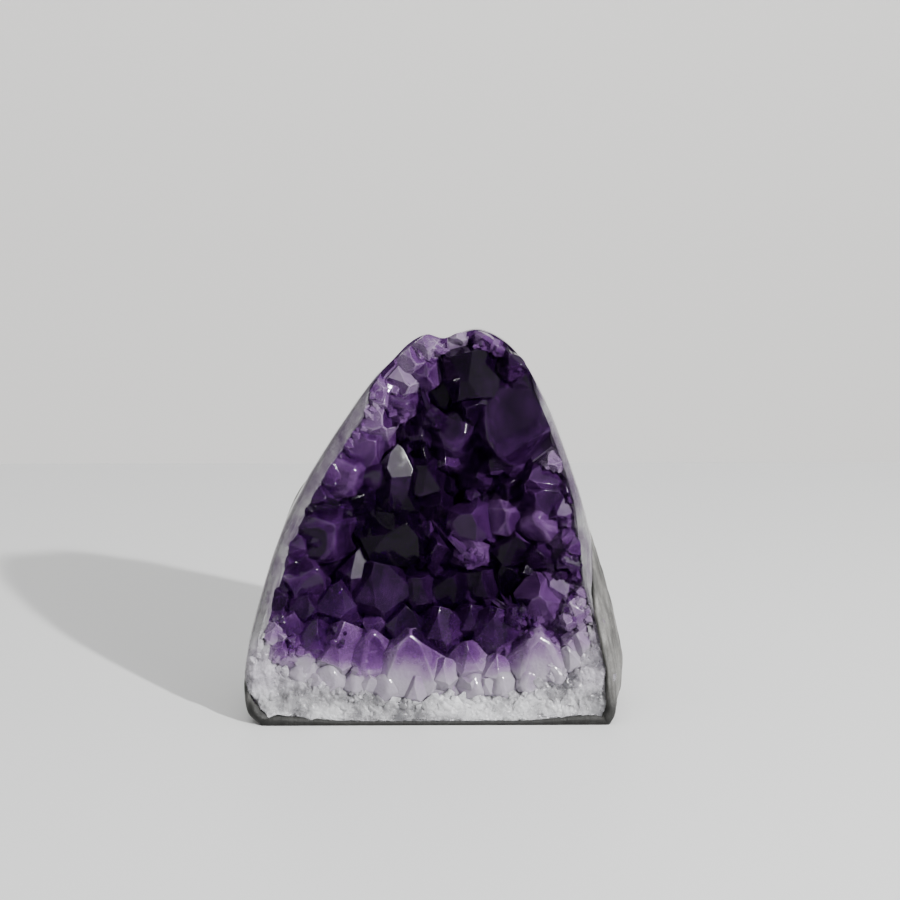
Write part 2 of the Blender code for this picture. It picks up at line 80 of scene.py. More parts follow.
# The silhouette seen from the front, from the right foot over the top to the left foot (x, z).
OUTLINE = (
    (44.6, 0.0), (47.7, 3.6), (48.4, 9.0), (48.1, 15.0), (45.7, 27.5), (41.5, 42.4), (37.0, 56.0),
    (31.4, 71.9), (27.2, 81.5), (22.5, 89.7), (17.3, 95.0), (11.4, 97.6), (6.0, 96.8), (2.2, 95.6),
    (-2.2, 96.5), (-6.6, 94.2), (-10.4, 90.4), (-16.9, 83.5), (-28.1, 67.4), (-34.6, 56.2), (-38.9, 47.1),
    (-43.1, 34.7), (-45.9, 24.8), (-47.9, 14.9), (-48.4, 7.9), (-47.5, 2.6), (-44.6, 0.0),
)
# The mouth of the hollow in the front face, where white quartz gives way to crystals (x, z).
MOUTH = (
    (0.0, 6.6), (14.0, 7.2), (26.0, 8.6), (33.5, 13.5), (37.8, 21.5), (40.4, 31.0), (39.2, 42.0),
    (36.2, 55.0), (31.6, 69.0), (26.6, 80.4), (21.6, 88.6), (15.6, 93.8), (7.5, 95.6), (-0.5, 94.0),
    (-8.0, 89.6), (-14.8, 82.0), (-22.8, 72.2), (-30.4, 61.2), (-37.0, 48.9), (-41.4, 36.4),
    (-43.4, 26.0), (-40.2, 17.0), (-31.0, 10.6), (-17.0, 7.4),
)
# The point inside both outlines from which they are read, and the number of directions.
MIDDLE = (1.5, 44.0)
AROUND = 560

# Thickness of the basalt: a thin skin at the front edge and a full wall behind it.
RIND_WALL = 6.5
RIND_SKIN = 1.1
RIND_SKIN_FEET = 2.6
# Share of the depth over which bare quartz shows round the sides.
RIM_SHARE = 0.17
# How far the quartz stands back at the top, where crystals cover its rim, and the least width of its rim.
LIP = 3.6
LEAST_RIM = 0.7
# How far the crust reaches into the quartz and the quartz into the rock, so that no light passes between.
OVERLAP = 0.15

# Each crystal as seen from the front: the middle of its widest part (x, z), its radius, how far its foremost
# point lies behind the front face, and how far its length leans to the side and up for each step forward.
CRYSTALS = (
    # the pale ones along the bottom edge
    (-39.4, 18.0, 3.8, 0.4, 0.5, 0.8), (-33.4, 12.8, 4.6, 0.2, 0.4, 1.4), (-26.6, 10.8, 4.8, 0.2, 0.2, 1.5),
    (-19.4, 9.6, 4.6, 0.2, 0.1, 1.5), (-12.0, 8.8, 4.6, 0.2, 0.0, 1.5), (-4.6, 8.4, 4.4, 0.2, 0.0, 1.4),
    (9.6, 8.8, 4.6, 0.2, 0.0, 1.5), (17.0, 9.4, 4.4, 0.2, 0.0, 1.4), (23.6, 10.2, 4.6, 0.2, -0.1, 1.4),
    (30.4, 11.8, 4.6, 0.2, -0.3, 1.2), (37.0, 20.0, 4.2, 0.3, -0.5, 0.8),
    # the row that stands up behind them
    (-16.6, 15.6, 7.4, 0.6, 0.15, 2.2), (-23.8, 17.6, 7.8, 0.8, 0.1, 2.0),
    (-31.0, 20.2, 5.6, 0.8, 0.5, 1.8), (-36.6, 17.2, 5.2, 0.5, 0.5, 1.6), (-37.0, 24.4, 4.0, 1.0, 0.5, 1.2),
    (-40.6, 22.6, 3.2, 0.4, 0.4, 1.0), (8.6, 15.0, 5.4, 0.8, -0.1, 2.2), (15.2, 12.4, 4.6, 0.3, 0.1, 2.0),
    (34.6, 15.6, 4.8, 0.3, -0.4, 1.6), (2.4, 11.8, 4.6, 0.2, 0.0, 2.0),
    # behind them
    (-7.8, 22.6, 5.6, 4.3, 0.1, 1.8), (1.2, 22.0, 6.0, 3.8, -0.1, 1.8), (9.2, 23.6, 4.8, 6.1, 0.0, 1.6),
    (15.4, 22.6, 6.4, 1.4, 0.0, 1.8), (20.0, 26.8, 3.0, 1.2, 0.0, 1.0), (-25.2, 28.6, 6.2, 2.9, 0.2, 1.4),
    (-14.8, 32.0, 8.4, 3.5, -0.1, 1.1), (-33.0, 35.4, 6.6, 1.6, 0.5, 0.6), (-33.4, 29.0, 4.4, 1.6, 0.4, 1.0),
    (-4.2, 31.0, 5.2, 7.5, 0.0, 0.9), (4.0, 31.6, 5.6, 7.8, 0.1, 0.8), (12.4, 32.6, 5.2, 8.4, 0.0, 0.8),
    (18.8, 34.4, 5.4, 9.0, -0.2, 0.7), (27.2, 30.4, 6.6, 1.4, -0.1, 0.4), (36.4, 27.4, 5.2, 1.0, -0.6, 0.8),
    # the middle
    (35.0, 40.2, 4.8, 1.2, -0.7, 0.2), (27.6, 40.4, 5.0, 4.6, -0.4, 0.3), (19.8, 42.0, 5.8, 6.7, 0.1, 0.7),
    (9.6, 41.0, 4.8, 6.4, 0.1, 0.5), (1.0, 40.4, 5.8, 10.2, 0.0, 0.5), (-11.0, 45.0, 9.4, 4.9, 0.3, 0.5),
    (-28.6, 47.2, 9.2, 1.0, 0.5, 0.3), (9.4, 48.6, 6.2, 5.5, 0.0, 0.5), (18.4, 50.0, 6.2, 5.5, -0.1, 0.4),
    (27.8, 49.4, 6.8, 2.9, -0.4, 0.3), (0.4, 52.2, 6.0, 9.6, 0.1, 0.3), (-18.6, 55.6, 5.8, 5.5, 0.3, 0.2),
    (-8.0, 55.0, 5.8, 7.8, 0.0, 0.5), (28.0, 56.0, 5.6, 1.6, -0.5, 0.2), (19.6, 57.6, 5.2, 6.1, -0.2, 0.2),
    # the upper part
    (-3.0, 60.4, 6.4, 5.8, 0.2, 0.6), (11.0, 60.0, 5.8, 7.5, -0.1, 0.1), (3.8, 65.0, 5.8, 6.7, -0.3, -0.2),
    (27.0, 59.6, 5.6, 1.6, -0.7, 0.3), (-15.6, 61.8, 4.6, 3.5, 0.4, 0.3), (-22.8, 61.8, 7.0, 1.0, 0.5, 0.2),
    (-4.0, 71.4, 5.8, 4.6, 0.2, 0.0), (-17.6, 68.6, 5.8, 1.0, 0.4, 0.2), (-14.8, 74.8, 5.6, 0.4, 0.4, 0.1),
    (5.0, 70.6, 6.6, 3.2, 0.1, -0.5), (-0.8, 75.8, 3.2, 1.6, 0.0, 0.0),
    (30.4, 65.4, 3.2, 0.6, -0.5, 0.0), (-8.4, 79.2, 4.8, 0.4, 0.3, 0.0), (-7.6, 84.4, 4.8, 0.4, 0.3, 0.0),
    (-5.6, 89.6, 4.4, 0.2, 0.3, 0.0), (-2.6, 87.0, 5.0, 0.3, 0.2, -0.1), (-2.0, 93.0, 4.2, 0.0, 0.1, 0.2),
    (13.4, 95.4, 3.8, 0.0, 0.0, 0.2), (5.6, 96.2, 2.8, 1.2, 0.0, 0.0), (20.2, 89.6, 5.0, 0.3, -0.3, 0.0),
    (9.6, 77.4, 6.2, 2.6, -0.2, 0.2), (-13.4, 80.4, 3.6, 0.4, 0.3, 0.0),
)
# Crystals with one large face turned to a given side: the same six values and the way that the face looks.
LIT = (0.31, -0.88, 0.35)
UPWARD = (-0.2, 0.0, 1.0)
RIGHT_UPWARD = (0.1, 0.0, 1.0)
FORWARD = (0.0, -1.0, 0.1)
FACED = (
    ((8.6, 86.8, 9.2, 0.2, -0.25, 0.5), UPWARD), ((20.6, 72.6, 12.8, 0.2, -0.3, -0.35), RIGHT_UPWARD),
    ((-6.4, 13.0, 10.8, -0.4, 0.0, 1.28), FORWARD), ((26.4, 15.0, 9.2, -0.2, -0.1, 1.3), FORWARD),
    ((-10.0, 62.8, 5.6, 1.8, 0.36, 3.4), LIT), ((-19.6, 36.4, 5.4, 4.4, 0.36, 3.4), LIT),
    ((31.2, 34.0, 4.6, 1.4, 3.1, 4.5), LIT),
)
FILLERS = 60
FILLER_RADIUS = (2.4, 4.4)
FACE_SLOPE = math.radians(51.8)
COLUMN = 17.0
TILT = 0.12
FILLER_LEAN = 1.6
BED = 3.4
BED_BEHIND = 2.2
BED_SHARES = (0.9, 0.75, 0.5, 0.25)

# How much the edges of a crystal are worn round, as a share of its radius, inside the hollow and at its
# mouth, and the crystals with a wear of their own: x, z and share.
WORN = (0.03, 0.10)
DOMES = (
    (-28.6, 47.2, 0.22), (26.4, 15.0, 0.26), (-22.8, 61.8, 0.28), (20.6, 72.6, 0.16), (-4.0, 71.4, 0.22),
    (-6.4, 13.0, 0.07), (5.0, 70.6, 0.34), (8.6, 86.8, 0.04), (27.8, 49.4, 0.30), (-33.4, 12.8, 0.4),
    (-26.6, 10.8, 0.4), (-19.4, 9.6, 0.4), (-12.0, 8.8, 0.4), (9.6, 8.8, 0.4), (17.0, 9.4, 0.4),
    (23.6, 10.2, 0.4), (30.4, 11.8, 0.4), (-16.6, 15.6, 0.24), (-33.0, 35.4, 0.22), (18.4, 50.0, 0.18),
    (-8.4, 79.2, 0.3),
)
# Colour and painted shade of the crystals by place: x, z, reach and tone, from 0 for near black to 1 for
# milky.
# The near-black tones in the hollow are partly the crystals' own deep colour and partly painted shade.
TONES_AND_SHADE = (
    (-6.4, 13.6, 7.0, 0.54), (26.4, 16.0, 7.0, 0.54), (37.6, 29.0, 3.0, 0.80), (-16.6, 15.6, 5.5, 0.50),
    (-23.8, 17.6, 5.5, 0.46),
    (-33.4, 12.4, 4.0, 0.66), (-26.6, 10.0, 4.0, 0.70), (-19.4, 9.2, 4.0, 0.74), (-12.6, 8.4, 3.0, 0.76),
    (9.6, 8.4, 4.0, 0.64), (17.0, 9.0, 4.0, 0.70), (30.8, 10.6, 4.0, 0.78),
    (8.6, 15.0, 5.0, 0.46), (15.2, 12.4, 4.0, 0.56), (2.4, 11.8, 4.0, 0.60), (-36.6, 17.2, 4.5, 0.50),
    (-37.0, 24.4, 4.0, 0.46), (-31.0, 20.2, 4.5, 0.42), (34.6, 15.6, 4.0, 0.80), (37.0, 22.0, 4.0, 0.80),
    (-7.8, 22.6, 4.0, 0.26), (1.2, 22.0, 4.5, 0.30), (9.2, 23.6, 4.0, 0.30), (15.4, 22.6, 5.0, 0.26),
    (-25.2, 28.6, 5.0, 0.24), (-14.8, 32.0, 6.5, 0.32), (-33.0, 35.4, 5.5, 0.28), (27.2, 30.4, 5.0, 0.46),
    (-28.6, 47.2, 7.5, 0.22), (-11.0, 45.0, 9.0, 0.07), (0.4, 50.0, 7.0, 0.14), (18.8, 34.4, 5.5, 0.04),
    (4.0, 31.6, 5.0, 0.22), (12.4, 32.6, 4.5, 0.26), (8.6, 41.0, 4.5, 0.50), (19.8, 42.0, 4.5, 0.10),
    (9.4, 48.6, 4.5, 0.38), (18.4, 50.0, 5.0, 0.42), (27.8, 49.4, 5.5, 0.50), (35.0, 40.2, 4.0, 0.40),
    (28.0, 56.0, 4.5, 0.44), (-18.6, 55.6, 4.5, 0.12), (-8.0, 55.0, 4.5, 0.06), (19.6, 57.6, 5.0, 0.24),
    (-3.0, 60.4, 5.0, 0.10), (11.0, 60.0, 5.0, 0.18), (3.8, 68.0, 5.5, 0.30), (-15.6, 61.8, 4.0, 0.28),
    (-22.8, 61.8, 6.0, 0.46), (-10.0, 63.6, 4.0, 0.16), (-17.6, 70.6, 5.5, 0.52), (-14.8, 76.4, 5.0, 0.74),
    (20.4, 74.0, 8.0, 0.34), (18.0, 64.0, 5.0, 0.40), (-8.4, 79.2, 4.0, 0.38), (-7.6, 85.4, 5.0, 0.74),
    (-5.6, 90.6, 4.5, 0.68), (-1.0, 93.4, 4.0, 0.68), (-1.4, 87.6, 4.0, 0.40), (5.2, 94.0, 4.0, 0.70),
    (13.4, 95.4, 4.0, 0.56), (20.0, 89.4, 4.5, 0.34), (26.4, 81.6, 3.5, 0.40), (9.6, 82.0, 8.0, 0.03),
    (29.4, 66.0, 3.5, 0.74), (-4.0, 71.4, 5.0, 0.24), (-40.6, 22.6, 3.0, 0.80),
)
# Height over the floor at which the quartz of the front face begins.
LEAST_HEIGHT = 0.35
# Broken chunks tried along the bottom of the quartz, and small ones along its lower edge, which go as far
# as that from the middle.
CHUNKS = 900
CRUMBS = 420
CRUMB_REACH = 36.0
# How far the crystals grew over the mouth's curve, how far they stray from it, coarsely and finely, and how
# uneven the crest is.
MOUTH_GROWN = 1.5
MOUTH_RELIEF = (2.0, 1.0)
CREST_RELIEF = 1.3
# Small crystals along the mouth, and small ones for each square millimetre of a broken patch.
RIM_CRYSTALS = 84
DRUSE = 0.36
# Patches of small broken crystals, which glitter: x, z and reach.
PATCHES = (
    (-3.0, 94.0, 4.2), (13.4, 95.6, 4.4), (-8.4, 79.0, 3.4), (30.0, 65.6, 3.2), (25.6, 22.0, 4.6),
    (37.6, 29.0, 4.6), (20.4, 26.8, 2.6), (-31.6, 45.6, 1.6), (-36.4, 19.6, 3.0), (33.4, 41.4, 2.6),
    (9.4, 40.0, 2.6), (0.2, 75.4, 2.4), (-14.8, 79.6, 3.0), (-19.0, 73.4, 2.4), (31.6, 12.8, 3.6),
    (-24.6, 21.6, 2.2), (38.4, 20.0, 3.6), (30.6, 37.6, 2.4), (-41.0, 18.0, 3.0),
)


def smooth_step(value, low, high):
    t = np.clip((np.asarray(value, float) - low) / (high - low), 0.0, 1.0)
    return t * t * (3.0 - 2.0 * t)


def catmull_rom(points, closed, steps=12):
    """Points along a smooth curve that passes through the given ones."""
    p = np.asarray(points, float)
    ends = (p[-1:], p[:2]) if closed else (p[:1], p[-1:])
    p = np.concatenate([ends[0], p, ends[1]])
    t = np.linspace(0.0, 1.0, steps, endpoint=False)[:, None]
    spans = []
    for a, b, c, d in zip(p, p[1:], p[2:], p[3:]):
        spans.append(0.5 * (2 * b + (c - a) * t + (2 * a - 5 * b + 4 * c - d) * t**2
                            + (3 * b - a - 3 * c + d) * t**3))
    curve = np.concatenate(spans)
    return curve if closed else np.concatenate([curve, p[-2:-1]])


def by_angle(curve, angles):
    """The curve's points that lie in these directions from MIDDLE."""
    seen = np.unwrap(np.arctan2(curve[:, 1] - MIDDLE[1], curve[:, 0] - MIDDLE[0]))
    if seen[-1] < seen[0]:
        seen, curve = seen[::-1], curve[::-1]
    turns = np.concatenate([seen - 2 * math.pi, seen, seen + 2 * math.pi])
    wrapped = np.concatenate([curve, curve, curve])
    return np.stack([np.interp(angles, turns, wrapped[:, k]) for k in (0, 1)], axis=1)


ANGLES = np.linspace(-math.pi, math.pi, AROUND, endpoint=False)
BODY = by_angle(catmull_rom(OUTLINE, closed=False), ANGLES)
POCKET_CURVE = catmull_rom(MOUTH, closed=True)
# Rings of the hollow, as shares of the way from its middle to its mouth, and of the inside of the rock.
HOLLOW_SHARES = (0.34, 0.62, 0.82, 0.94)
INNER_SHARES = (0.0, 0.05, 0.16, 0.34, 0.54, 0.72)
OUTER_SHARES = np.concatenate([np.linspace(0.985, 0.5, 22), np.linspace(0.48, 0.0, 34)])
FRONT_SHARES = np.linspace(0.03, 0.97, 24)
SIDE_SHARES = np.linspace(0.08, 1.0, 18)


def lumps(points, size, seed):
    """Smooth noise from -1 to 1 at each point, with features of about that size in millimetres."""
    offset = Vector((seed * 17.3, seed * 5.1, -seed * 9.7))
    return np.array([noise.noise(Vector(p) / size + offset) for p in points])


def grains(points, size, seed):
    """Cell noise: 0 between grains of that size in millimetres, and up to 1 on them."""
    offset = Vector((seed * 17.3, seed * 5.1, -seed * 9.7))
    return np.array([1.0 - min(1.0, noise.voronoi(Vector(p) / size + offset)[0][0]) for p in points])


def front_y(z):
    """How far back the leaning front face is at height z."""
    return -DEPTH / 2 + z * math.tan(FRONT_LEAN)


def placed(outline, k):
    """Points of an outline at the depth k, from 0 at the front face to 1 at the back."""
    x, z = outline[:, 0], outline[:, 1]
    y = -DEPTH / 2 + z * math.tan(FRONT_LEAN) * (1 - k) + k * DEPTH
    return np.stack([x, y, z], axis=1)


def inset(row, amount, shrunk=1.0):
    """A row moved in towards its middle until it lies that far inside its outline, as seen from the front."""
    flat = row[:, [0, 2]]
    along = np.roll(flat, -1, axis=0) - np.roll(flat, 1, axis=0)
    normal = np.stack([-along[:, 1], along[:, 0]], axis=1) / np.linalg.norm(along, axis=1)[:, None]
    toward = np.asarray(MIDDLE) * shrunk - flat
    toward /= np.linalg.norm(toward, axis=1)[:, None]
    move = toward * (amount / np.clip((normal * toward).sum(axis=1), 0.6, 1.0))[:, None]
    moved = row.copy()
    moved[:, [0, 2]] += move
    return moved


def base_share():
    """1 along the underside."""
    return 1.0 - smooth_step(BODY[:, 1], 0.0, 5.0)


def right_foot():
    """1 low on the right side, where the rock stands proud of the front face."""
    return (1.0 - smooth_step(BODY[:, 1], 26.0, 62.0)) * smooth_step(BODY[:, 0], 30.0, 42.0)


def high_right():
    """1 high on the right side, where the rim of quartz is thin."""
    return smooth_step(BODY[:, 1], 38.0, 62.0) * smooth_step(BODY[:, 0], 5.0, 20.0)


def crystal_top():
    """1 at the top, where the crystals cover the rim and make the silhouette."""
    return smooth_step(BODY[:, 1], 80.0, 90.0)


def rock_cover():
    """1 where the rock reaches the front face, under the base and at the right foot."""
    return np.maximum(right_foot(), 1.0 - smooth_step(BODY[:, 1], 3.5, 18.0))


def tucked():
    """1 where the quartz lies within rock right up to the front face."""
    return smooth_step(rock_cover(), 0.35, 1.0)


def skin():
    """Rock thickness at the front edge: thickest at the two feet."""
    feet = smooth_step(np.abs(BODY[:, 0]), 20.0, 46.0) * base_share()
    return RIND_SKIN + (RIND_SKIN_FEET - RIND_SKIN) * feet


def rind_start():
    """Depth at which the rock begins, behind bare quartz except at the bottom and low on the right."""
    return RIM_SHARE * (1.0 - rock_cover())


def shrink(k):
    """How much narrower and lower the body is at the depth k."""
    k = np.broadcast_to(np.asarray(k, float), (AROUND,))
    past = np.clip((k - 0.22) / 0.78, 0.0, 1.0)
    wide = (1.0 - past**2.6) ** (1 / 2.2)
    past = np.clip((k - 0.06) / 0.94, 0.0, 1.0)
    tall = (1.0 - past**2.3) ** (1 / 1.9)
    return np.stack([wide, tall], axis=1)


def body_row(k):
    """The outer surface at the depth k, one value for each direction."""
    k = np.broadcast_to(np.asarray(k, float), (AROUND,))
    row = placed(BODY * shrink(k), k)
    rounded = 1.0 - np.sqrt(1.0 - np.clip(1.0 - k / 0.075, 0.0, 1.0) ** 2)
    edge = 2.4 - 1.3 * np.maximum(np.maximum(right_foot(), base_share()), high_right())
    flare = 3.4 * right_foot() * (1.0 - base_share()) * np.clip(1.0 - k / 0.26, 0.0, 1.0)
    row = inset(row, edge * rounded + flare, shrink(k))
    rough = smooth_step(k, 0.06, 0.3) * (0.9 * lumps(row, 21.0, 3) + 0.45 * lumps(row, 8.0, 4))
    row = inset(row, -rough * smooth_step(BODY[:, 1], 0.0, 6.0), shrink(k))
    row[:, 2] = np.maximum(row[:, 2], 0.0)
    row[BODY[:, 1] < 1e-6, 2] = 0.0
    return row


def wall(k):
    """Thickness of the rock at the depth k."""
    return skin() + (RIND_WALL - skin()) * smooth_step(k - rind_start(), 0.0, 0.3)


def inner_row(k):
    """The inside of the rock at the depth k, where the quartz meets it."""
    return inset(body_row(k), wall(k), shrink(k))


def depth_rows(starts, shares):
    """Depths for each row, spread from each direction's start to the back."""
    return [starts + (1.0 - starts) * share for share in shares]


def inside_depths():
    """Depths of the rings where the rock and the quartz face each other."""
    return depth_rows(rind_start() + 0.003, INNER_SHARES)


def pole(row, back):
    """The point that closes a row, a little further back than its middle."""
    middle = row.mean(axis=0)
    return np.array([middle[0], row[:, 1].max() + back, max(middle[2], 1.0)])


def rim_edge():
    """The edge of the front face, from which the sides begin."""
    return inset(body_row(LIP / DEPTH * crystal_top()), skin() * tucked())


def mouth_outline():
    """The mouth of the hollow, kept within the edge of the front face."""
    ring = by_angle(POCKET_CURVE, ANGLES)
    places = np.stack([ring[:, 0], np.zeros(AROUND), ring[:, 1]], axis=1)
    wavy = MOUTH_GROWN + MOUTH_RELIEF[0] * lumps(places, 8.0, 51) + MOUTH_RELIEF[1] * lumps(places, 3.0, 52)
    ring = ring + (ring - MIDDLE) / np.linalg.norm(ring - MIDDLE, axis=1)[:, None] * wavy[:, None]
    room = np.linalg.norm(rim_edge()[:, [0, 2]] - MIDDLE, axis=1) - LEAST_RIM
    far = np.linalg.norm(ring - MIDDLE, axis=1)
    return np.asarray(MIDDLE) + (ring - MIDDLE) * np.minimum(1.0, room / far)[:, None]


POCKET = mouth_outline()


def hollow_depth(share, lip=0.0):
    """Depth of the hollow's wall behind the front face, from the middle (0) to the mouth (1)."""
    return lip + (HOLLOW_DEPTH - lip) * (1.0 - np.clip(share, 0.0, 1.0) ** 2.4) ** 0.75


def hollow_row(share, lift):
    """A ring of the hollow's wall, lifted off it towards the viewer and the middle."""
    row = placed(np.asarray(MIDDLE) + (POCKET - MIDDLE) * share, 0.0)
    row[:, 1] += hollow_depth(share, LIP * crystal_top()) - lift
    return inset(row, lift)


def hollow_pole(lift):
    x, z = MIDDLE
    return np.array([x, front_y(z) + HOLLOW_DEPTH - lift, z])


def lip_back(outward, lift):
    """The edge of the crust against the quartz: the mouth, but at the top the silhouette."""
    mouth, edge = inset(hollow_row(1.0, 0.0), -OVERLAP), rim_edge()
    row = inset(mouth + (edge - mouth) * crystal_top()[:, None], -outward)
    row[:, 1] -= lift * (1.0 + crystal_top())
    return row


def lip_front(outward, forward):
    """The edge of the crust at the front face, moved out and forward."""
    row = lip_back(outward, 0.0)
    row[:, 1] = front_y(row[:, 2]) - forward
    return row


def mesh_from_rows(rows, first_pole, last_pole):
    """A closed mesh through rings of points, ended by a point at each end."""
    points = [first_pole, *np.concatenate(rows), last_pole]
    count = len(rows[0])
    last = len(points) - 1
    faces = []
    for j in range(count):
        n = (j + 1) % count
        faces.append((0, 1 + n, 1 + j))
        for i in range(len(rows) - 1):
            a, b = 1 + i * count, 1 + (i + 1) * count
            faces.append((a + j, a + n, b + n, b + j))
        a = last - count
        faces.append((a + j, a + n, last))
    return np.asarray(points), faces


def add_object(name, points, faces, finish=None):
    """An object from points in millimetres, with its faces turned outward."""
    mesh = bpy.data.meshes.new(name)
    mesh.from_pydata([tuple(p) for p in np.asarray(points) * MM], [], faces)
    work = bmesh.new()
    work.from_mesh(mesh)
    bmesh.ops.recalc_face_normals(work, faces=work.faces)
    work.to_mesh(mesh)
    work.free()
    made = bpy.data.objects.new(name, mesh)
    bpy.context.scene.collection.objects.link(made)
    if finish is not None:
        mesh.materials.append(finish)
    return made


def point_array(mesh):
    """The mesh's points in millimetres and their normals."""
    points = np.zeros(len(mesh.vertices) * 3)
    mesh.vertices.foreach_get("co", points)
    normals = np.zeros(len(mesh.vertices) * 3)
    mesh.vertices.foreach_get("normal", normals)
    return points.reshape(-1, 3) / MM, normals.reshape(-1, 3)


def move_along_normals(mesh, heights):
    """Moves each point along its normal by that many millimetres."""
    points, normals = point_array(mesh)
    moved = (points + normals * np.asarray(heights)[:, None]) * MM
    mesh.vertices.foreach_set("co", moved.ravel())
    mesh.update()


# The rock.

def build_rind(finish):
    """The basalt, with fine relief: shallow pits, and streaks that run down the ground right side."""
    start = np.where(rock_cover() < 1.0, rind_start() + 0.002, 0.0)
    rows = [body_row(k) for k in depth_rows(start, OUTER_SHARES)]
    inside = [start, *[np.maximum(k, start + 0.001) for k in inside_depths()]]
    rows += [inner_row(k) for k in inside]
    points, faces = mesh_from_rows(rows, pole(rows[0], 0.4), pole(rows[-1], 1.0))
    made = add_object("rind", points, faces, finish)
    points, normals = point_array(made.data)
    outer = np.arange(len(points)) <= AROUND * len(OUTER_SHARES)
    above = smooth_step(points[:, 2], 0.2, 2.0)
    natural = smooth_step(points[:, 1], -16.0, 4.0)
    relief = 0.30 * lumps(points, 5.0, 21) + 0.16 * lumps(points, 2.2, 22)
    pits = -0.5 * smooth_step(grains(points, 4.5, 23), 0.72, 0.9)
    streaks = 0.10 * lumps(points * (1.0, 1.0, 0.12), 1.6, 24)
    move_along_normals(made.data, outer * above * (natural * (relief + pits) + (1.0 - natural) * streaks))
    made.data.shade_smooth()
    return made


# The quartz.

def build_quartz(finish):
    """The quartz: ground smooth round the sides, sugary where it was broken or sawn at the front."""
    mouth = hollow_row(1.0, 0.0)
    edge = rim_edge()
    rows = [hollow_row(share, 0.0) for share in HOLLOW_SHARES]
    rows.append(mouth)
    rows += [mouth + (edge - mouth) * share for share in FRONT_SHARES]
    rows.append(edge)
    first = LIP / DEPTH * crystal_top()
    for share in SIDE_SHARES:
        k = first + (rind_start() - first) * share + 0.001 * share
        rows.append(inset(body_row(k), wall(k) * tucked(), shrink(k)))
    rows += [inner_row(k) for k in inside_depths()]
    points, faces = mesh_from_rows(rows, hollow_pole(0.0), pole(rows[-1], 0.0))
    made = add_object("quartz", points, faces, finish)
    points, _ = point_array(made.data)
    ahead = points[:, 1] - front_y(points[:, 2])
    front = (1.0 - smooth_step(ahead, 0.3, 1.8)) * (1.0 - smooth_step(points[:, 2], 20.0, 44.0))
    sugar = 0.9 * (grains(points, 3.4, 31) - 0.45) + 0.5 * (grains(points, 1.5, 32) - 0.45)
    sugar += 0.5 * lumps(points, 6.0, 33) - 0.5
    ground = 0.12 * lumps(points, 6.0, 34)
    move_along_normals(made.data, front * sugar + (1.0 - front) * ground * (ahead < 12.0))
    made.data.shade_smooth()
    add_chunks(made, random.Random(5))
    made.data.shade_smooth()
    made.data.set_sharp_from_angle(angle=math.radians(42))
    return made


def chunk(middle, size, lengthened, grow, chance):
    """Corners of a broken chunk, cut off at the front face and kept over the floor."""
    points = []
    for _ in range(14):
        out = Vector([chance.gauss(0.0, 1.0) for _ in range(3)]).normalized()
        points.append(middle + (out + grow * out.dot(grow) * lengthened) * size)
    lift = max(0.0, LEAST_HEIGHT - min(point.z for point in points))
    for point in points:
        point.z += lift
        point.y = max(point.y, front_y(point.z) + chance.uniform(0.0, 0.25))
    return points


def sugar_chunks(chance):
    """Broken chunks along the bottom of the front face, sunk into it, and small ones down to the base."""
    mouth, edge = hollow_row(1.0, 0.0), rim_edge()
    found = []
    for _ in range(CHUNKS):
        j = chance.randrange(AROUND)
        share = chance.uniform(-0.15, 1.0)
        place = mouth[j] + (edge[j] - mouth[j]) * share
        if BODY[j, 1] < chance.uniform(8.0, 26.0):
            size = chance.uniform(1.0, 2.8) * (0.7 if share < 0.2 else 1.0)
            grow = Vector((chance.uniform(-1.0, 1.0), chance.uniform(-0.6, 0.2), 0.9)).normalized()
            middle = Vector(place) + Vector((0.0, size * chance.uniform(0.72, 1.0), 0.0))
            found.append(chunk(middle, size, chance.uniform(0.0, 0.8), grow, chance))
    for _ in range(CRUMBS):
        x, z = chance.uniform(-1.0, 1.0) * CRUMB_REACH, chance.uniform(0.7, 3.0)
        size = chance.uniform(0.5, 1.2)
        middle = Vector((x, front_y(z) + size * chance.uniform(0.3, 0.7), z))
        found.append(chunk(middle, size, 0.3, Vector((1.0, 0.0, 0.0)), chance))
    return found


def add_chunks(quartz, chance):
    """Joins the chunks to the quartz as hulls of their corners."""
    work = bmesh.new()
    for points in sugar_chunks(chance):
        verts = [work.verts.new(point * MM) for point in points]
        bmesh.ops.convex_hull(work, input=verts)
    bmesh.ops.delete(work, geom=[v for v in work.verts if not v.link_faces], context="VERTS")
    work.from_mesh(quartz.data)
    work.to_mesh(quartz.data)
    work.free()


# The crystals.

def crystal_frame(x, z, radius, behind, side, up, chance, faces=None):
    """The planes of a six-sided crystal round its middle: a column, three large and three small end faces."""
    strayed = [chance.uniform(-TILT, TILT) for _ in range(3)]
    grow = (Vector((side, -1.0, up)).normalized() + Vector(strayed) * (faces is None)).normalized()
    ahead = radius * max(math.sqrt(1.0 - grow.y**2), -grow.y / math.tan(FACE_SLOPE))
    middle = Vector((x, front_y(z) + behind + ahead, z))
    turn = grow.orthogonal() if faces is None else Vector(faces)
    turn = (turn - grow * turn.dot(grow)).normalized()
    if faces is None:
        turn.rotate(Matrix.Rotation(chance.uniform(0.0, math.pi), 3, grow))
    planes = [(-grow, COLUMN)]
    for i in range(6):
        out = turn.copy()
        out.rotate(Matrix.Rotation(math.radians(60 * i), 3, grow))
        taper = math.radians(chance.uniform(2, 5))
        planes.append((out * math.cos(taper) - grow * math.sin(taper), radius * chance.uniform(0.84, 1.0)))
        share = chance.uniform(1.04, 1.22) if i % 2 else chance.uniform(0.92, 1.0)
        tip_face = out * math.sin(FACE_SLOPE) + grow * math.cos(FACE_SLOPE)
        planes.append((tip_face, radius * share * math.sin(FACE_SLOPE)))
    return middle, planes


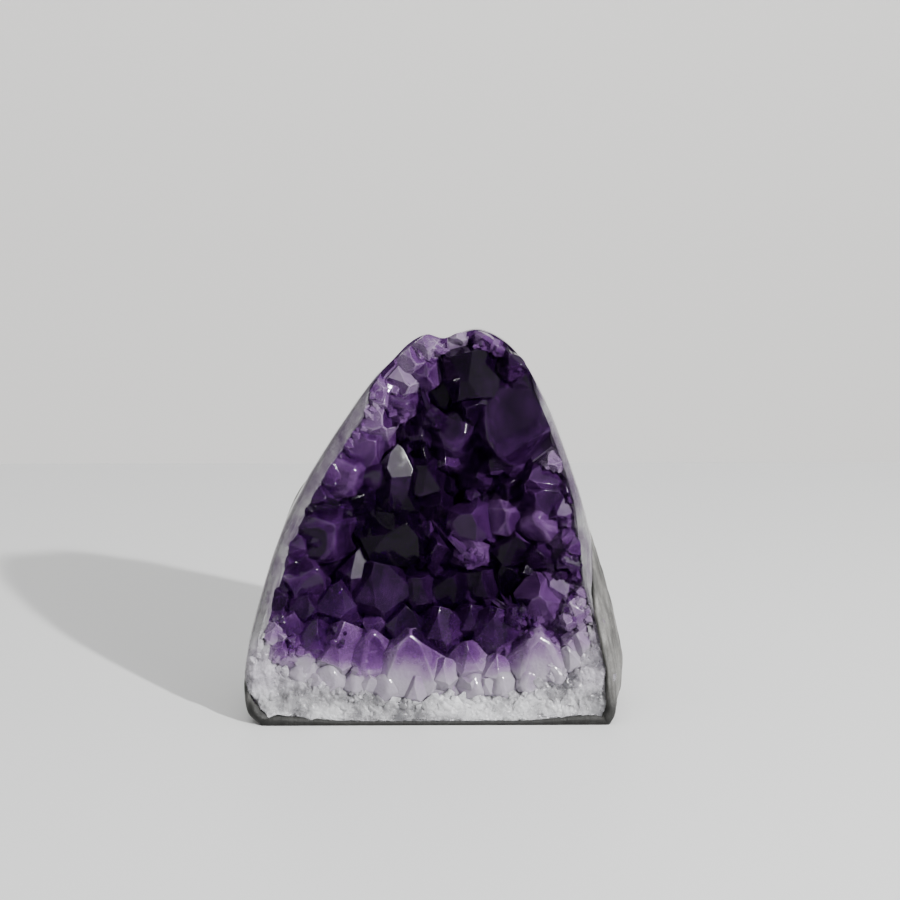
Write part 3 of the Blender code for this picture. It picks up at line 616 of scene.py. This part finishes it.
def corners(planes):
    """Each point where three planes meet behind all the others, with the normals of the three."""
    normals = np.array([tuple(n) for n, _ in planes])
    reach = np.array([d for _, d in planes])
    threes = np.array(list(itertools.combinations(range(len(planes)), 3)))
    sides = normals[threes]
    threes = threes[np.abs(np.linalg.det(sides)) > 1e-4]
    points = np.linalg.solve(normals[threes], reach[threes][:, :, None])[:, :, 0]
    inside = (points @ normals.T <= reach + 1e-6).all(axis=1)
    return [(point, normals[three]) for point, three in zip(points[inside], threes[inside])]


def worn_points(planes, worn, steps):
    """Points of a crystal whose edges are worn round to that radius, in that many steps."""
    shares = [(a, b, steps - a - b) for a in range(steps + 1) for b in range(steps + 1 - a)]
    found = []
    for point, normals in corners([(n, d - worn) for n, d in planes]):
        for share in shares:
            out = np.asarray(share, float) @ normals
            found.append(point + out / np.linalg.norm(out) * worn)
    return found


def add_crystal(name, middle, planes, worn, steps):
    """A crystal with worn edges. The wear carries the second material."""
    work = bmesh.new()
    for point in worn_points(planes, worn, steps):
        work.verts.new((middle + Vector(point)) * MM)
    bmesh.ops.remove_doubles(work, verts=work.verts, dist=0.02 * MM)
    bmesh.ops.convex_hull(work, input=work.verts)
    bmesh.ops.dissolve_limit(work, angle_limit=math.radians(0.5), verts=work.verts, edges=work.edges)
    work.normal_update()
    for face in work.faces:
        flat = max(face.normal.dot(normal) for normal, _ in planes)
        face.material_index = 0 if flat > math.cos(math.radians(1.5)) else 1
    mesh = bpy.data.meshes.new(name)
    work.to_mesh(mesh)
    work.free()
    made = bpy.data.objects.new(name, mesh)
    made.hide_render = True
    return made


def filler_crystals(chance):
    """Small crystals between the listed ones, deeper in the hollow."""
    taken = [crystal[:3] for crystal in (*CRYSTALS, *[crystal for crystal, _ in FACED])]
    found = []
    for _ in range(FILLERS * 60):
        if len(found) == FILLERS:
            break
        angle, share = chance.uniform(-math.pi, math.pi), math.sqrt(chance.uniform(0.0, 0.93))
        edge = by_angle(POCKET_CURVE, [angle])[0]
        x, z = np.asarray(MIDDLE) + (edge - MIDDLE) * share
        radius = chance.uniform(*FILLER_RADIUS)
        if all(math.hypot(x - a, z - b) > 0.58 * (radius + r) for a, b, r in taken):
            taken.append((x, z, radius))
            lean = FILLER_LEAN * share**2
            behind = 1.2 + 11.0 * (1.0 - share**2) * chance.uniform(0.7, 1.0)
            found.append((x, z, radius, behind, -math.cos(angle) * lean, -math.sin(angle) * lean))
    return found


def rim_crystals(chance):
    """Small crystals along the mouth, leaning in from it."""
    found = []
    for n in range(RIM_CRYSTALS):
        angle = math.pi * 2.0 * (n + chance.random()) / RIM_CRYSTALS
        edge = by_angle(POCKET_CURVE, [math.remainder(angle, 2.0 * math.pi)])[0]
        x, z = np.asarray(MIDDLE) + (edge - MIDDLE) * chance.uniform(0.86, 1.0)
        radius = chance.uniform(1.5, 3.3)
        lean = chance.uniform(0.2, 1.1)
        if all(math.hypot(x - a, z - b) > r for (a, b, r, *_), _ in FACED):
            behind = chance.uniform(0.2, 1.4)
            found.append((x, z, radius, behind, -math.cos(angle) * lean, -math.sin(angle) * lean))
    return found


def druse_crystals(solids, chance):
    """Small crystals on the faces of the others, on the broken patches."""
    middles = np.array([tuple(middle) for middle, _ in solids])
    normals = np.array([[tuple(n) for n, _ in planes] for _, planes in solids])
    reach = np.array([[d for _, d in planes] for _, planes in solids])
    found = []
    for a, b, patch in PATCHES:
        for _ in range(round(DRUSE * math.pi * patch**2)):
            turn, away = chance.uniform(-math.pi, math.pi), patch * math.sqrt(chance.random())
            x, z = a + math.cos(turn) * away, b + math.sin(turn) * away
            flat = np.array([x, 0.0, z])
            room = reach - (normals * (flat - middles)[:, None, :]).sum(axis=2)
            meets = room / normals[:, :, 1]
            enters = np.where(normals[:, :, 1] < 0.0, meets, -np.inf)
            leaves = np.where(normals[:, :, 1] > 0.0, meets, np.inf).min(axis=1)
            first = enters.max(axis=1)
            first[first > leaves] = np.inf
            hit = int(first.argmin())
            if not np.isfinite(first[hit]) or mouth_share(x, z) > 1.02:
                continue
            side, ahead, up = normals[hit][int(enters[hit].argmax())]
            radius = chance.uniform(0.6, 1.5)
            behind = max(0.1, first[hit] - front_y(z) - radius * chance.uniform(0.4, 1.1))
            found.append((x, z, radius, behind, np.clip(-side / ahead, -1.2, 1.2) + chance.uniform(-0.6, 0.6),
                          np.clip(-up / ahead, -1.2, 1.2) + chance.uniform(-0.6, 0.6)))
    return found


def mouth_share(x, z):
    """How far a place lies from the middle of the hollow (0) to its mouth (1)."""
    away = np.array([x, z]) - MIDDLE
    edge = by_angle(POCKET_CURVE, [math.atan2(away[1], away[0])])[0] - MIDDLE
    return float(np.linalg.norm(away) / np.linalg.norm(edge))


def wear_at(x, z):
    """How round a crystal's edges are, as a share of its radius."""
    for a, b, share in DOMES:
        if math.hypot(x - a, z - b) < 1.0:
            return share
    return WORN[0] + (WORN[1] - WORN[0]) * float(smooth_step(mouth_share(x, z), 0.72, 0.98))


def tone_and_shade_at(x, z):
    """Crystal colour tone and painted shade at a place, from the places near it in the table above."""
    weights = [math.exp(-((x - a) ** 2 + (z - b) ** 2) / (0.7 * reach) ** 2) for a, b, reach, _ in TONES_AND_SHADE]
    total = sum(weights) + 0.04
    return (sum(w * tone for w, (_, _, _, tone) in zip(weights, TONES_AND_SHADE)) + 0.04 * 0.34) / total


def paint_crust(mesh, solids, chance):
    """Gives each face the tone of the crystal that it belongs to, and marks worn edges."""
    centres = np.zeros(len(mesh.polygons) * 3)
    mesh.polygons.foreach_get("center", centres)
    centres = centres.reshape(-1, 3) / MM
    outside = []
    for middle, planes in solids:
        normals = np.array([tuple(n) for n, _ in planes])
        reach = np.array([d for _, d in planes])
        outside.append(((centres - np.array(middle)) @ normals.T - reach).max(axis=1))
    outside = np.array(outside)
    owner = outside.argmin(axis=0)
    alone = outside.min(axis=0) > 0.4
    # The tones are the crystals' own colour and, where near black in the hollow, partly painted shade.
    tones = np.array([tone_and_shade_at(m.x, m.z) + chance.uniform(-0.09, 0.09) for m, _ in solids])
    bed_tone = np.array([tone_and_shade_at(c[0], c[2]) for c in centres])
    worn = np.zeros(len(mesh.polygons), np.int32)
    mesh.polygons.foreach_get("material_index", worn)
    values = {
        "tone": np.where(alone, 0.6 * bed_tone, tones[owner]),
        "worn": worn.astype(float),
    }
    for name, value in values.items():
        attribute = mesh.attributes.new(name, "FLOAT", "FACE")
        attribute.data.foreach_set("value", np.clip(value, 0.0, 1.0).astype(np.float32))
    mesh.polygons.foreach_set("material_index", np.zeros(len(mesh.polygons), np.int32))


def crystal_bed():
    """The layer that the crystals stand on, a little larger than the hollow so that it is trimmed to it."""
    rows = [hollow_row(share, -0.6) for share in HOLLOW_SHARES]
    rows += [lip_back(0.6, -0.6 - BED_BEHIND), lip_front(0.6, -BED_BEHIND), lip_front(-1.2, -BED_BEHIND)]
    for share in BED_SHARES:
        row = hollow_row(share, BED)
        row[:, 1] += 0.8 * lumps(row, 7.0, 9)
        rows.append(row)
    points, faces = mesh_from_rows(rows, hollow_pole(-0.6), hollow_pole(BED))
    return add_object("crust", points, faces)


def crust_space():
    """The room for the crust: the hollow up to the front face and, at the top, the space over the rim."""
    rows = [hollow_row(share, -OVERLAP) for share in (*HOLLOW_SHARES, 0.999)]
    crest = lip_back(0.0, 0.0)
    uneven = CREST_RELIEF * crystal_top() * (lumps(crest, 6.0, 61) - 0.3 + 0.5 * lumps(crest, 2.4, 62))
    rows += [lip_back(0.3 * uneven, -OVERLAP), lip_front(uneven, 0.4)]
    rows += [lip_front(-1.4 + uneven, 0.8), lip_front(-5.0, 1.6)]
    front_pole = hollow_pole(0.0) - np.array([0.0, HOLLOW_DEPTH + 2.0, 0.0])
    points, faces = mesh_from_rows(rows, hollow_pole(-OVERLAP), front_pole)
    return add_object("crust_space", points, faces)


def build_crust(finish):
    """The crystals and the bed that they grow from, joined and trimmed to the hollow and the front face."""
    chance = random.Random(11)
    crystals = bpy.data.collections.new("crystals")
    bpy.context.scene.collection.children.link(crystals)
    solids = [crystal_frame(*crystal, chance) for crystal in (*CRYSTALS, *filler_crystals(chance))]
    solids += [crystal_frame(*crystal, chance, faces) for crystal, faces in FACED]
    solids += [crystal_frame(*crystal, chance) for crystal in rim_crystals(chance)]
    solids += [crystal_frame(*crystal, chance) for crystal in druse_crystals(solids, chance)]
    for n, (middle, planes) in enumerate(solids):
        worn = wear_at(middle.x, middle.z)
        steps = 2 + (worn > 0.06) + (worn > 0.2)
        crystals.objects.link(add_crystal(f"crystal_{n:03d}", middle, planes, planes[1][1] * worn, steps))

    crust = crystal_bed()
    for helper in (*crystals.objects, crust):
        helper.data.materials.append(finish)
        helper.data.materials.append(finish)
    join = crust.modifiers.new("join_crystals", "BOOLEAN")
    join.operation = "UNION"
    join.operand_type = "COLLECTION"
    join.collection = crystals
    join.solver = "MANIFOLD"
    trim = crust.modifiers.new("trim_to_hollow", "BOOLEAN")
    trim.operation = "INTERSECT"
    space = crust_space()
    trim.object = space
    trim.solver = "MANIFOLD"
    bpy.context.view_layer.update()
    joined = crust.evaluated_get(bpy.context.evaluated_depsgraph_get())
    crust.data = bpy.data.meshes.new_from_object(joined)
    crust.modifiers.clear()
    for helper in [*crystals.objects, space]:
        bpy.data.objects.remove(helper)
    bpy.data.collections.remove(crystals)
    paint_crust(crust.data, solids, chance)
    crust.data.materials.clear()
    crust.data.materials.append(finish)
    crust.data.shade_smooth()
    crust.data.set_sharp_from_angle(angle=math.radians(20))
    level = crust.modifiers.new("level_faces", "WEIGHTED_NORMAL")
    level.keep_sharp = True
    return crust


# Materials.

class Nodes:
    """Short ways to make the nodes of one material."""

    def __init__(self, name):
        self.material = bpy.data.materials.new(name)
        self.material.use_nodes = True
        self.tree = self.material.node_tree
        self.shader = self.tree.nodes["Principled BSDF"]
        self.output = self.tree.nodes["Material Output"]
        self.place = self.add("ShaderNodeTexCoord").outputs["Object"]

    def add(self, kind, settings=None, **inputs):
        """A node with its settings and inputs. An input is a value or the socket that feeds it."""
        node = self.tree.nodes.new(kind)
        for name, value in (settings or {}).items():
            setattr(node, name, value)
        for name, value in inputs.items():
            self.feed(node.inputs[name.replace("_", " ")], value)
        return node

    def feed(self, socket, value):
        if isinstance(value, bpy.types.NodeSocket):
            self.tree.links.new(value, socket)
        else:
            socket.default_value = value

    def set(self, **inputs):
        for name, value in inputs.items():
            self.feed(self.shader.inputs[name.replace("_", " ")], value)

    def math(self, operation, a, b=0.0, clamp=False):
        node = self.add("ShaderNodeMath", {"operation": operation, "use_clamp": clamp})
        self.feed(node.inputs[0], a)
        self.feed(node.inputs[1], b)
        return node.outputs[0]

    def ramp(self, value, stops):
        """A colour for a value: stops are (position, colour)."""
        node = self.add("ShaderNodeValToRGB", Fac=value)
        elements = node.color_ramp.elements
        elements[0].position, elements[1].position = stops[0][0], stops[-1][0]
        elements[0].color, elements[1].color = (*stops[0][1], 1.0), (*stops[-1][1], 1.0)
        for position, colour in stops[1:-1]:
            elements.new(position).color = (*colour, 1.0)
        return node.outputs[0]

    def step(self, value, low, high, first=0.0, last=1.0):
        """A value that goes smoothly from first to last between low and high."""
        node = self.add("ShaderNodeMapRange", {"interpolation_type": "SMOOTHSTEP"}, Value=value)
        for name, number in (("From Min", low), ("From Max", high), ("To Min", first), ("To Max", last)):
            node.inputs[name].default_value = number
        return node.outputs[0]

    def noise(self, size, detail=3.0, rough=0.5, place=None, distortion=0.0):
        """Noise from 0 to 1 with features of about that size in millimetres."""
        node = self.add("ShaderNodeTexNoise", Scale=0.6 / (size * MM), Detail=detail, Roughness=rough,
                        Distortion=distortion, Vector=place or self.place)
        return node.outputs[0]

    def cells(self, size):
        """Distance to the nearest of cells of about that size in millimetres, from 0 at their middles."""
        node = self.add("ShaderNodeTexVoronoi", Scale=1.0 / (size * MM), Vector=self.place)
        return node.outputs["Distance"]

    def stretched(self, x, y, z):
        """Object coordinates scaled along each axis."""
        return self.add("ShaderNodeMapping", Vector=self.place, Scale=(x, y, z)).outputs[0]

    def height(self):
        return self.add("ShaderNodeSeparateXYZ", Vector=self.place).outputs["Z"]

    def attribute(self, name):
        return self.add("ShaderNodeAttribute", {"attribute_name": name}).outputs["Fac"]

    def mix(self, share, a, b):
        node = self.add("ShaderNodeMix", {"data_type": "RGBA"})
        self.feed(node.inputs[0], share)
        self.feed(node.inputs[6], a if isinstance(a, bpy.types.NodeSocket) else (*a, 1.0))
        self.feed(node.inputs[7], b if isinstance(b, bpy.types.NodeSocket) else (*b, 1.0))
        return node.outputs[2]

    def mix_value(self, share, a, b):
        """A value that goes from a to b as share goes from 0 to 1."""
        node = self.add("ShaderNodeMix")
        self.feed(node.inputs[0], share)
        self.feed(node.inputs[2], a)
        self.feed(node.inputs[3], b)
        return node.outputs[0]

    def bump(self, height, depth, strength=1.0, below=None):
        """A bump of that depth in millimetres for a height from 0 to 1."""
        if isinstance(depth, bpy.types.NodeSocket):
            depth = self.math("MULTIPLY", depth, MM)
        else:
            depth = depth * MM
        node = self.add("ShaderNodeBump", Height=height, Strength=strength, Distance=depth)
        if below is not None:
            self.feed(node.inputs["Normal"], below)
        return node.outputs[0]


AMETHYST_STOPS = (
    (0.0, (0.016, 0.004, 0.034)), (0.2, (0.060, 0.013, 0.110)), (0.42, (0.150, 0.038, 0.24)),
    (0.6, (0.26, 0.11, 0.36)), (0.78, (0.43, 0.31, 0.50)), (1.0, (0.58, 0.53, 0.62)),
)


def amethyst_material():
    """Violet quartz: see-through and dark where it is deep, milky near its roots at the bottom edge."""
    n = Nodes("amethyst")
    height = n.math("ADD", n.height(), n.math("MULTIPLY", n.math("SUBTRACT", n.noise(7.0), 0.5), 0.010))
    aside = n.math("ABSOLUTE", n.add("ShaderNodeSeparateXYZ", Vector=n.place).outputs["X"])
    height = n.math("SUBTRACT", height, n.math("MULTIPLY", aside, 0.12))
    root = n.step(height, 0.0060, 0.0180, 0.50, 0.0)
    cloud = n.math("MULTIPLY", n.math("SUBTRACT", n.noise(5.0, 4.0, 0.6, distortion=0.6), 0.5), 0.55)
    sheet = n.math("ABSOLUTE", n.math("SUBTRACT", n.noise(9.0, 3.0, 0.6, distortion=1.2), 0.5))
    veil = n.math("MULTIPLY", n.step(sheet, 0.0, 0.012, 0.14, 0.0), n.step(n.noise(4.0), 0.45, 0.6))
    # The tone attribute is partly painted shade where it is near black in the hollow.
    tone = n.math("ADD", n.attribute("tone"), n.math("ADD", cloud, root), clamp=True)
    edge = n.math("MULTIPLY", n.attribute("worn"), 0.07)
    tone = n.math("ADD", tone, n.math("ADD", edge, veil), clamp=True)
    waves = n.bump(n.noise(4.0, 2.0), 0.05, 0.5)
    sugar = n.bump(n.cells(0.9), 0.25, n.step(tone, 0.62, 0.85, 0.0, 0.4), below=waves)
    n.set(Base_Color=n.ramp(tone, AMETHYST_STOPS), IOR=1.544,
          Transmission_Weight=n.step(tone, 0.1, 0.9, 0.93, 0.55),
          Roughness=n.math("ADD", n.step(n.noise(2.0), 0.35, 0.8, 0.03, 0.12),
                           n.math("MULTIPLY", n.attribute("worn"), 0.08)),
          Normal=sugar)
    inside = n.add("ShaderNodeVolumeAbsorption", Color=(0.60, 0.10, 0.74, 1.0), Density=110.0)
    n.tree.links.new(inside.outputs[0], n.output.inputs["Volume"])
    return n.material


QUARTZ_STOPS = ((0.32, (0.48, 0.47, 0.51)), (0.48, (0.70, 0.69, 0.72)), (0.64, (0.86, 0.86, 0.88)))
RIM_STOPS = ((0.38, (0.28, 0.19, 0.34)), (0.5, (0.58, 0.51, 0.62)), (0.6, (0.88, 0.87, 0.89)))


def quartz_material():
    """White quartz: sugary where broken, grey and white by turns, ground and glassy round the sides."""
    n = Nodes("quartz")
    cloud = n.noise(6.0, 4.0, 0.6)
    broken = n.ramp(cloud, QUARTZ_STOPS)
    clear = n.step(n.math("ADD", n.height(), n.math("MULTIPLY", cloud, 0.008)), 0.009, 0.017)
    broken = n.mix(n.math("MULTIPLY", clear, 0.55), broken, (0.50, 0.44, 0.55))
    # Dark grey along the lowest millimetres of the front, at the base.
    uneven = n.math("SUBTRACT", n.noise(2.4, 4.0, 0.7), 0.5)
    low = n.math("ADD", n.height(), n.math("MULTIPLY", uneven, 0.008))
    broken = n.mix(n.step(low, -0.0012, 0.0024, 0.8, 0.0), broken, (0.10, 0.105, 0.095))
    scratches = n.noise(1.4, 3.0, 0.7, place=n.stretched(1.0, 1.0, 0.07))
    ground = n.step(n.math("ADD", n.height(), n.math("MULTIPLY", cloud, 0.012)), 0.020, 0.034)
    streaks = n.math("ADD", n.math("MULTIPLY", scratches, 0.35), n.math("MULTIPLY", cloud, 0.65))
    rim = n.ramp(streaks, RIM_STOPS)
    rim = n.mix(n.step(n.height(), 0.078, 0.088), rim, (0.16, 0.06, 0.26))
    sugar = n.math("ADD", n.cells(1.0), n.math("MULTIPLY", n.noise(0.6, 4.0, 0.7), 0.8))
    relief = n.mix_value(ground, sugar, scratches)
    n.set(Base_Color=n.mix(ground, broken, rim), IOR=1.544,
          Roughness=n.mix_value(ground, n.step(n.noise(1.0), 0.35, 0.65, 0.12, 0.45), 0.11),
          Transmission_Weight=n.mix_value(ground, n.step(cloud, 0.35, 0.6, 0.8, 0.4), 0.78),
          Normal=n.bump(relief, n.mix_value(ground, 0.22, 0.04), 0.8))
    return n.material


BASALT_STOPS = ((0.38, (0.032, 0.031, 0.029)), (0.5, (0.112, 0.109, 0.104)), (0.61, (0.22, 0.215, 0.205)))


def basalt_material():
    """Grey volcanic rock: fine-grained, with pale and dark specks, and streaks down the ground right side."""
    n = Nodes("basalt")
    streaks = n.noise(1.6, 5.0, 0.65, place=n.stretched(1.0, 1.0, 0.08))
    cloud = n.math("ADD", n.math("MULTIPLY", n.noise(9.0, 4.0, 0.6), 0.4), n.math("MULTIPLY", streaks, 0.6))
    colour = n.ramp(cloud, BASALT_STOPS)
    colour = n.mix(n.step(n.noise(0.35, 2.0, 0.6), 0.35, 0.65, 0.30, 0.0), colour, (0.02, 0.02, 0.018))
    specks = n.step(n.cells(1.5), 0.08, 0.22, 1.0, 0.0)
    specks = n.math("MULTIPLY", specks, n.step(n.noise(4.0), 0.5, 0.62))
    colour = n.mix(n.math("MULTIPLY", specks, 0.35), colour, (0.42, 0.41, 0.38))
    # Near black low down on the front face, along the base.
    ahead = n.add("ShaderNodeSeparateXYZ", Vector=n.place).outputs["Y"]
    low = n.math("ADD", n.height(), n.math("MULTIPLY", n.noise(1.0, 3.0), 0.002))
    strip = n.math("MULTIPLY", n.step(ahead, -0.023, -0.019, 1.0, 0.0), n.step(low, 0.0045, 0.0085, 1.0, 0.0))
    colour = n.mix(n.math("MULTIPLY", strip, 0.92), colour, (0.018, 0.018, 0.017))
    grain = n.math("ADD", n.noise(0.4, 4.0, 0.7), n.math("MULTIPLY", streaks, 1.2))
    n.set(Base_Color=colour, Roughness=n.step(n.noise(3.0), 0.3, 0.7, 0.45, 0.7),
          Normal=n.bump(grain, 0.22, 0.8))
    return n.material


# The pieces.

def fit_to_frame(pieces):
    """The scale and the shift that bring the pieces' box to the solid model's, which is a hair smaller."""
    low = np.full(3, 1e9)
    high = -low
    for piece in pieces:
        points, _ = point_array(piece.data)
        low, high = np.minimum(low, points.min(axis=0)), np.maximum(high, points.max(axis=0))
    low, high = low * MM, high * MM
    scale = np.minimum(1.0, (np.array(CAD_HIGH) - np.array(CAD_LOW)) / (high - low))
    shift = (np.array(CAD_LOW) + np.array(CAD_HIGH)) / 2 - scale * (low + high) / 2
    shift[2] = 0.0
    return Matrix.Translation(Vector(shift)) @ Matrix.Diagonal((*scale, 1.0))


def build_pieces():
    rind = build_rind(basalt_material())
    quartz = build_quartz(quartz_material())
    crust = build_crust(amethyst_material())
    fit = fit_to_frame([rind, quartz])
    for piece, node, slot in ((rind, "basalt_rind", "basalt"), (quartz, "quartz_layer", "quartz"),
                              (crust, "amethyst_crust", "amethyst")):
        piece.data.transform(fit)
        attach(piece, "root")
        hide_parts(node)


# Floor, light and camera.

# Brightness of the room from the camera's side (0) over the stone (0.5) to the far side (1).
ROOM_BANDS = ((0.0, 0.08), (0.28, 0.09), (0.5, 0.60), (0.66, 0.44), (0.85, 0.32), (1.0, 0.42))


def plain_material(name, colour, roughness):
    n = Nodes(name)
    n.set(Base_Color=(*colour, 1.0), Roughness=roughness)
    return n.material


def add_panel(name, corners_of, finish):
    mesh = bpy.data.meshes.new(name)
    mesh.from_pydata(corners_of, [], [(0, 1, 2, 3)])
    mesh.materials.append(finish)
    made = bpy.data.objects.new(name, mesh)
    bpy.context.scene.collection.objects.link(made)
    return made


def build_stage():
    """A pale table whose far edge shows behind the stone, and a plain wall beyond it."""
    far, wide, wall_y, wall_top = 0.28, 3.0, 1.3, 0.5
    floor = add_panel("floor", [(-wide, -2.0, 0.0), (wide, -2.0, 0.0), (wide, far, 0.0), (-wide, far, 0.0)],
                      plain_material("floor_paint", (0.80, 0.805, 0.80), 0.42))
    # The crystals mirror and refract the dim room in front of the stone, not a bright table.
    floor.visible_glossy = False
    floor.visible_transmission = False
    wall = plain_material("backdrop_paint", (0.80, 0.79, 0.77), 0.9)
    wall.node_tree.nodes["Principled BSDF"].inputs["Emission Color"].default_value = (1.0, 0.99, 0.97, 1.0)
    wall.node_tree.nodes["Principled BSDF"].inputs["Emission Strength"].default_value = 0.62
    add_panel("backdrop", [(-wide, wall_y, -1.5), (wide, wall_y, -1.5), (wide, wall_y, wall_top),
                           (-wide, wall_y, wall_top)], wall)


def add_area_light(name, toward, distance, size, power):
    """A square light in that direction from the object, aimed at it."""
    light = bpy.data.lights.new(name, "AREA")
    light.shape = "SQUARE"
    light.size = size
    light.energy = power
    made = bpy.data.objects.new(name, light)
    aim = Vector((0.0, 0.0, 0.05))
    made.location = aim + Vector(toward).normalized() * distance
    made.rotation_euler = (aim - made.location).to_track_quat("-Z", "Y").to_euler()
    bpy.context.scene.collection.objects.link(made)
    return made


def build_light():
    """A room that is dim on the camera's side and bright over the stone, with a lamp at the front right."""
    world = bpy.data.worlds.new("room")
    world.use_nodes = True
    tree = world.node_tree
    place = tree.nodes.new("ShaderNodeTexCoord")
    apart = tree.nodes.new("ShaderNodeSeparateXYZ")
    halved = tree.nodes.new("ShaderNodeMapRange")
    halved.inputs["From Min"].default_value = -1.0
    bands = tree.nodes.new("ShaderNodeValToRGB")
    bands.color_ramp.interpolation = "B_SPLINE"
    elements = bands.color_ramp.elements
    for element, (position, grey) in zip(elements, (ROOM_BANDS[0], ROOM_BANDS[-1])):
        element.position = position
        element.color = (grey, grey, grey, 1.0)
    for position, grey in ROOM_BANDS[1:-1]:
        elements.new(position).color = (grey, grey, grey, 1.0)
    tree.links.new(place.outputs["Generated"], apart.inputs[0])
    tree.links.new(apart.outputs["Y"], halved.inputs["Value"])
    tree.links.new(halved.outputs[0], bands.inputs["Fac"])
    tree.links.new(bands.outputs["Color"], tree.nodes["Background"].inputs["Color"])
    tree.nodes["Background"].inputs["Strength"].default_value = 1.45
    bpy.context.scene.world = world
    add_area_light("lamp", (0.63, -0.62, 0.46), 1.2, 0.035, 27.0)
    add_area_light("window", (0.58, -0.67, 0.454), 1.4, 0.42, 1.4)
    ceiling = add_area_light("ceiling", (-0.15, -0.2, 0.96), 1.3, 1.2, 8.6)
    ceiling.visible_glossy = False
    ceiling.visible_transmission = False


def build_camera():
    camera = bpy.data.cameras.new("camera")
    camera.lens = 70.0
    camera.sensor_width = 36.0
    camera.clip_start = 0.01
    made = bpy.data.objects.new("camera", camera)
    made.location = (0.0, -0.442, 0.159)
    made.rotation_euler = (math.radians(90.0 - 12.0), 0.0, math.radians(-0.5))
    bpy.context.scene.collection.objects.link(made)
    bpy.context.scene.camera = made


build_pieces()
build_stage()
build_light()
build_camera()
